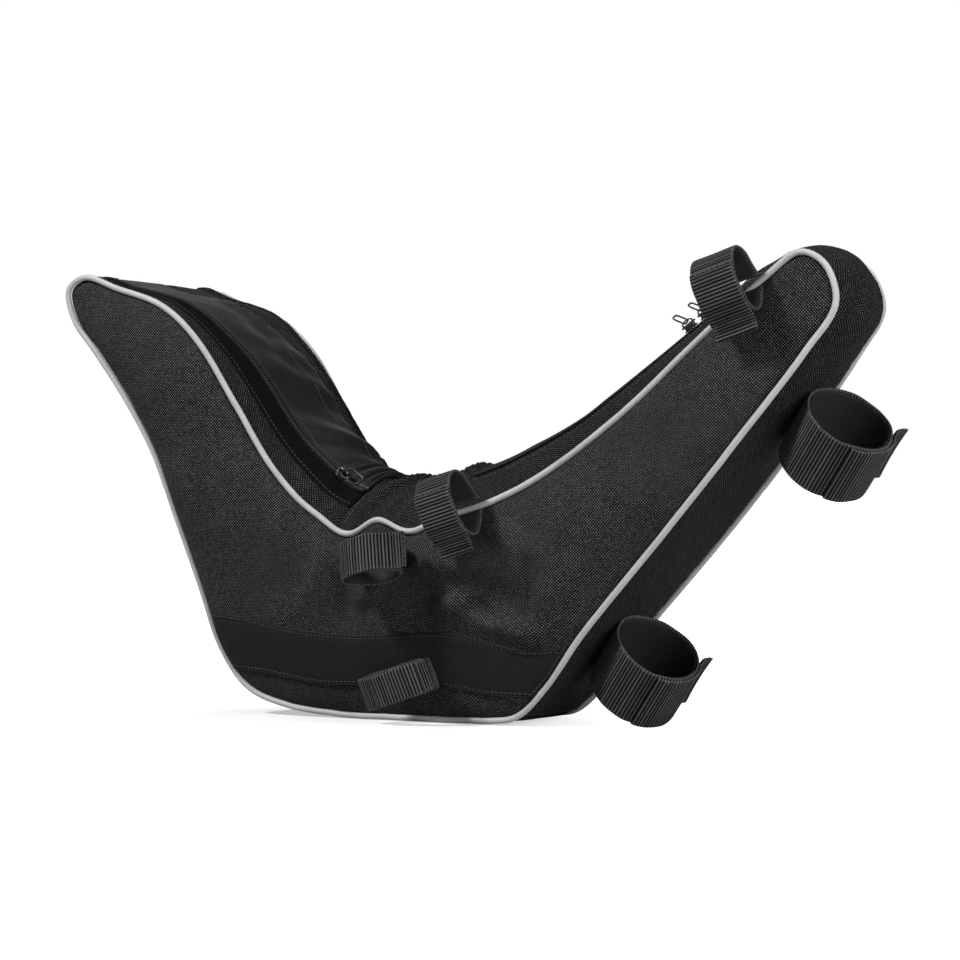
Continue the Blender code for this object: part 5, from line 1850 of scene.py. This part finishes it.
    def make_face(self) -> None:
        """Soft lining band inside the ring, its stitches showing through near the sewn side."""
        plan = self.plan
        turn = self.turns(145, 1.4 * plan.cut)
        depth = -(self.webbing + self.face_gap) * np.ones_like(turn)
        outer, inner, cloth = self.band(turn, depth, self.face, plan.width - self.face_inset, 18)
        face = self.wall(outer, inner, cloth).to_object(plan.name + "_lining", self.finishes.face)
        inside = self.webbing + self.face_gap + self.face
        rows = [self.axis_row(np.pi + angle, inside, plan.width - 0.008, True) for angle in (-0.5, 0.5)]
        thread = Surface.join(rows).to_object(plan.name + "_lining_stitches", self.finishes.thread, weld=True)
        settle(face, plan.name, "face", [plan.name + "_face"], thread)

    def make_tail(self) -> None:
        """Free end that curls away from the ring, with hook tape on its inner side."""
        plan = self.plan
        angle = math.radians(plan.tail_angle)
        point, ahead = self.ring(np.zeros(2), np.array([angle, angle + 0.02]))
        tangent = unit(ahead - point)
        out = unit(np.cross(tangent, self.axis))
        if out @ (point - self.centre) < 0.0:
            out = -out
        root = point + out * 0.0005
        t = np.linspace(0.0, 1.0, 34)
        lean = math.radians(plan.tail_lift) * (0.15 + 1.35 * ease(t * 1.1))
        way = np.cos(lean)[:, None] * tangent + np.sin(lean)[:, None] * out
        rise = np.cos(lean)[:, None] * out - np.sin(lean)[:, None] * tangent
        step = plan.tail / (len(t) - 1)
        line = root + np.concatenate([np.zeros((1, 3)), np.cumsum(0.5 * (way[1:] + way[:-1]) * step, axis=0)])
        width = plan.width - 0.001
        v = (crowd(26, 0.82) - 0.5)[None, :] * width
        edge = 0.5 * width - np.abs(v)
        thin = 0.0004 * fading(edge, self.edge_thin)
        end = -0.0004 * fading((1.0 - t) * plan.tail, 0.0006)[:, None]
        cloth = np.stack(np.broadcast_arrays((t * plan.tail)[:, None], v), axis=-1)
        curl = 0.001 * (v / width) ** 2 * 4.0 * t[:, None]
        middle = line[:, None] + v[..., None] * self.axis + curl[..., None] * rise[:, None]
        outer = middle + (0.0018 - thin + end)[..., None] * rise[:, None]
        inner = middle + (0.0006 + thin - end)[..., None] * rise[:, None]
        tail = Surface.slab(outer, inner, cloth)
        tail = tail.to_object(plan.name + "_tip", self.finishes.webbing(plan.width))
        rows = [Stitches().row(outer[4:-3, k], rise[4:-3]) for k in (5, 20)]
        rows.append(Stitches().row(outer[-4, 5:21], np.tile(rise[-4], (16, 1))))
        thread = Surface.join(rows).to_object(plan.name + "_tip_stitches", self.finishes.thread, weld=True)
        pad = slice(2, 24)
        fluff = 0.00012 * ripple(v[:, pad] * 3.0 + t[:, None] * 0.05, 3, 0.004, 3)
        hook_outer = middle[:, pad] + (0.0004 - thin[:, pad])[..., None] * rise[:, None]
        hook_inner = middle[:, pad] + (-0.0003 - fluff)[..., None] * rise[:, None]
        hooks = Surface.slab(hook_outer[1:-1], hook_inner[1:-1], cloth[1:-1, pad])
        patch = hooks.to_object(plan.name + "_tip_hooks", self.finishes.hooks)
        settle(tail, plan.name + "_end", "webbing", [plan.name + "_tail"], thread, patch)

    def make(self) -> None:
        """Build the whole strap."""
        self.make_loop()
        self.make_face()
        self.make_tail()


# The studio


@dataclass
class Studio:
    """Plain pale floor, soft lamps and the camera."""

    eye: Point = (1.0446, -1.6886, 0.155)
    aim: Point = (0.066, -0.06, 0.155)
    lens: float = 114.0
    half_floor: float = 40.0
    glow: float = 1.9
    floor_glow: float = 0.25
    shadow_centre: Point = (-0.045, -0.06, 0.0)
    shadow_reach: Place = (0.1, 0.32)
    floor_grey: float = 0.42
    surround: float = 0.1

    def stand(self, name: str, data: bpy.types.ID, place: Point) -> Object:
        """Put a lamp or the camera at a place, its own -Z towards the bag and +Y up."""
        way = np.array(self.aim) - np.array(place)
        obj = bpy.data.objects.new(name, data)
        obj.location = place
        obj.rotation_mode = "QUATERNION"
        obj.rotation_quaternion = Vector(way).to_track_quat("-Z", "Y")
        bpy.context.scene.collection.objects.link(obj)
        return obj

    def lamp(self, name: str, place: Point, size: float, watts: float) -> None:
        """Square soft lamp turned towards the bag."""
        data = bpy.data.lights.new(name, "AREA")
        data.shape = "SQUARE"
        data.size = size
        data.energy = watts
        self.stand(name, data, place)

    @staticmethod
    def for_camera(tree: bpy.types.NodeTree, plain: Socket, white: Socket, output: bpy.types.Node) -> None:
        """Show the white shader to camera rays alone, so it lights nothing, and the plain one to the rest."""
        rays = tree.nodes.new("ShaderNodeLightPath")
        mix = tree.nodes.new("ShaderNodeMixShader")
        for socket, value in zip(mix.inputs, (rays.outputs["Is Camera Ray"], plain, white)):
            tree.links.new(value, socket)
        tree.links.new(mix.outputs[0], output.inputs["Surface"])

    def make_floor(self) -> None:
        """Wide pale floor, shown white to the eye: its glow rises with the distance, so the shadow stays."""
        half = self.half_floor
        corners = np.array([[(x, y, 0.0) for x in (-half, half)] for y in (-half, half)])
        sheet = NodeSheet("studio_floor")
        sheet.finish(Base_Color=(0.8, 0.8, 0.8, 1.0), Roughness=0.9, Specular_IOR_Level=0.1)
        where = sheet.add("ShaderNodeTexCoord").outputs["Object"]
        shifted = sheet.add("ShaderNodeVectorMath", operation="SUBTRACT")
        sheet.feed(shifted.inputs[0], where)
        shifted.inputs[1].default_value = self.shadow_centre
        away = sheet.add("ShaderNodeVectorMath", operation="LENGTH")
        sheet.feed(away.inputs[0], shifted.outputs[0])
        glow = sheet.add("ShaderNodeEmission")
        glow.inputs["Strength"].default_value = self.glow
        part = sheet.add("ShaderNodeMixShader")
        share = Wire(sheet, away.outputs["Value"]).between(*self.shadow_reach, self.floor_glow, 1.0)
        for socket, value in zip(part.inputs, (share, sheet.shader.outputs[0], glow.outputs[0])):
            sheet.feed(socket, value)
        dull = sheet.add("ShaderNodeBsdfDiffuse")
        dull.inputs["Color"].default_value = (self.floor_grey,) * 3 + (1.0,)
        self.for_camera(sheet.tree, dull.outputs[0], part.outputs[0], sheet.tree.nodes["Material Output"])
        floor = Surface.grid(corners, corners[..., :2]).to_object("floor", sheet.material)

    def make_world(self) -> None:
        """White surround for the eye, softer grey for the light it gives."""
        world = bpy.data.worlds.new("studio")
        world.use_nodes = True
        tree = world.node_tree
        tree.nodes.clear()
        output = tree.nodes.new("ShaderNodeOutputWorld")
        dim, white = tree.nodes.new("ShaderNodeBackground"), tree.nodes.new("ShaderNodeBackground")
        for node, strength in ((dim, self.surround), (white, 1.0)):
            node.inputs["Color"].default_value = (1.0, 1.0, 1.0, 1.0)
            node.inputs["Strength"].default_value = strength
        self.for_camera(tree, dim.outputs[0], white.outputs[0], output)
        bpy.context.scene.world = world

    def make_camera(self) -> None:
        """Camera at the photograph's angle."""
        data = bpy.data.cameras.new("camera")
        data.lens = self.lens
        data.sensor_width = 36.0
        data.clip_start, data.clip_end = 0.05, 60.0
        bpy.context.scene.camera = self.stand("camera", data, self.eye)

    def make(self) -> None:
        """Set up floor, surround, lamps and camera."""
        bpy.context.scene.view_settings.view_transform = "Standard"
        self.make_world()
        self.make_floor()
        self.make_camera()
        self.lamp("key", (-1.5, -2.5, 3.0), 0.55, 140.0)
        self.lamp("fill", (2.2, -0.6, 0.8), 1.4, 40.0)
        self.lamp("top", (-0.1, 0.6, 2.1), 1.2, 5.5)
        self.lamp("rim", (-1.05, 1.75, 0.9), 0.9, 1.3)


NEAR_FOLDS = (
    Fold((0.002, 0.103), (0.096, 0.097), 0.0108, 0.01, 0.012, 0.03),
    Fold((0.032, 0.0785), (0.06, 0.078), 0.0085, 0.012, 0.005),
    Fold((0.056, 0.069), (0.11, 0.0555), 0.0085, 0.008, 0.006),
    Fold((0.0975, 0.138), (0.0972, 0.064), -0.0026, 0.005, 0.0035),
    Fold((0.0165, 0.1), (-0.025, 0.074), 0.0074, 0.012, 0.0038),
    Fold((-0.0315, 0.098), (-0.0345, 0.06), -0.0034, 0.0038, 0.0065),
    Fold((0.058, 0.09), (0.094, 0.062), 0.0034, 0.0038, 0.006),
    Fold((0.118, 0.112), (0.085, 0.048), 0.0036, 0.006, 0.01, 0.1),
    Fold((0.148, 0.112), (0.112, 0.064), -0.0026, 0.005, 0.008, 0.06),
    Fold((-0.045, 0.122), (-0.075, 0.062), 0.0044, 0.009, 0.014, 0.1),
    Fold((-0.1, 0.18), (-0.085, 0.085), 0.0036, 0.012, 0.02, 0.1),
    Fold((0.062, 0.128), (0.11, 0.104), 0.0034, 0.005, 0.009),
    Fold((0.215, 0.215), (0.17, 0.13), 0.0028, 0.01, 0.014, 0.1),
    Fold((-0.2305, 0.287), (-0.232, 0.254), 0.0044, 0.0018, 0.0032),
)
BAND_TOP = (
    (-0.1414, 0.0685), (-0.0936, 0.0591), (-0.0454, 0.0558), (0.0048, 0.0577), (0.0274, 0.06),
    (0.0557, 0.0575), (0.0772, 0.0519), (0.0989, 0.0493), (0.1237, 0.0519),
)
BAND_LOW = (
    (-0.1159, 0.03), (-0.0661, 0.0225), (-0.0265, 0.0232), (0.0401, 0.0242), (0.0608, 0.0198),
    (0.0974, 0.0192),
)
FAR_FOLDS = (
    Fold((-0.06, 0.1), (0.01, 0.07), 0.0044, 0.006, 0.012, 0.12),
    Fold((0.01, 0.115), (0.09, 0.1), 0.006, 0.006, 0.014, 0.05),
    Fold((0.04, 0.09), (0.1, 0.06), 0.005, 0.005, 0.01, 0.12),
    Fold((-0.13, 0.17), (-0.09, 0.09), 0.0032, 0.012, 0.018, 0.12),
)


def main() -> None:
    """Build the bag's looks in order."""
    logging.basicConfig(level=logging.INFO, format="%(message)s")
    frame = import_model()
    finishes = Finishes()
    shape = BagShape()
    Studio().make()
    SidePanel(shape, finishes, Side.RIGHT, NEAR_FOLDS, 7).make()
    SidePanel(shape, finishes, Side.LEFT, FAR_FOLDS, 43).make()
    Gussets(shape, finishes).make()
    HornTops(shape, finishes).make()
    for plan in STRAPS:
        Strap(shape, finishes, plan).make()
    board = frame["nodes"]["base_board"]
    board.data.materials.clear()
    board.data.materials.append(finishes.board)


if __name__ == "__main__":
    main()
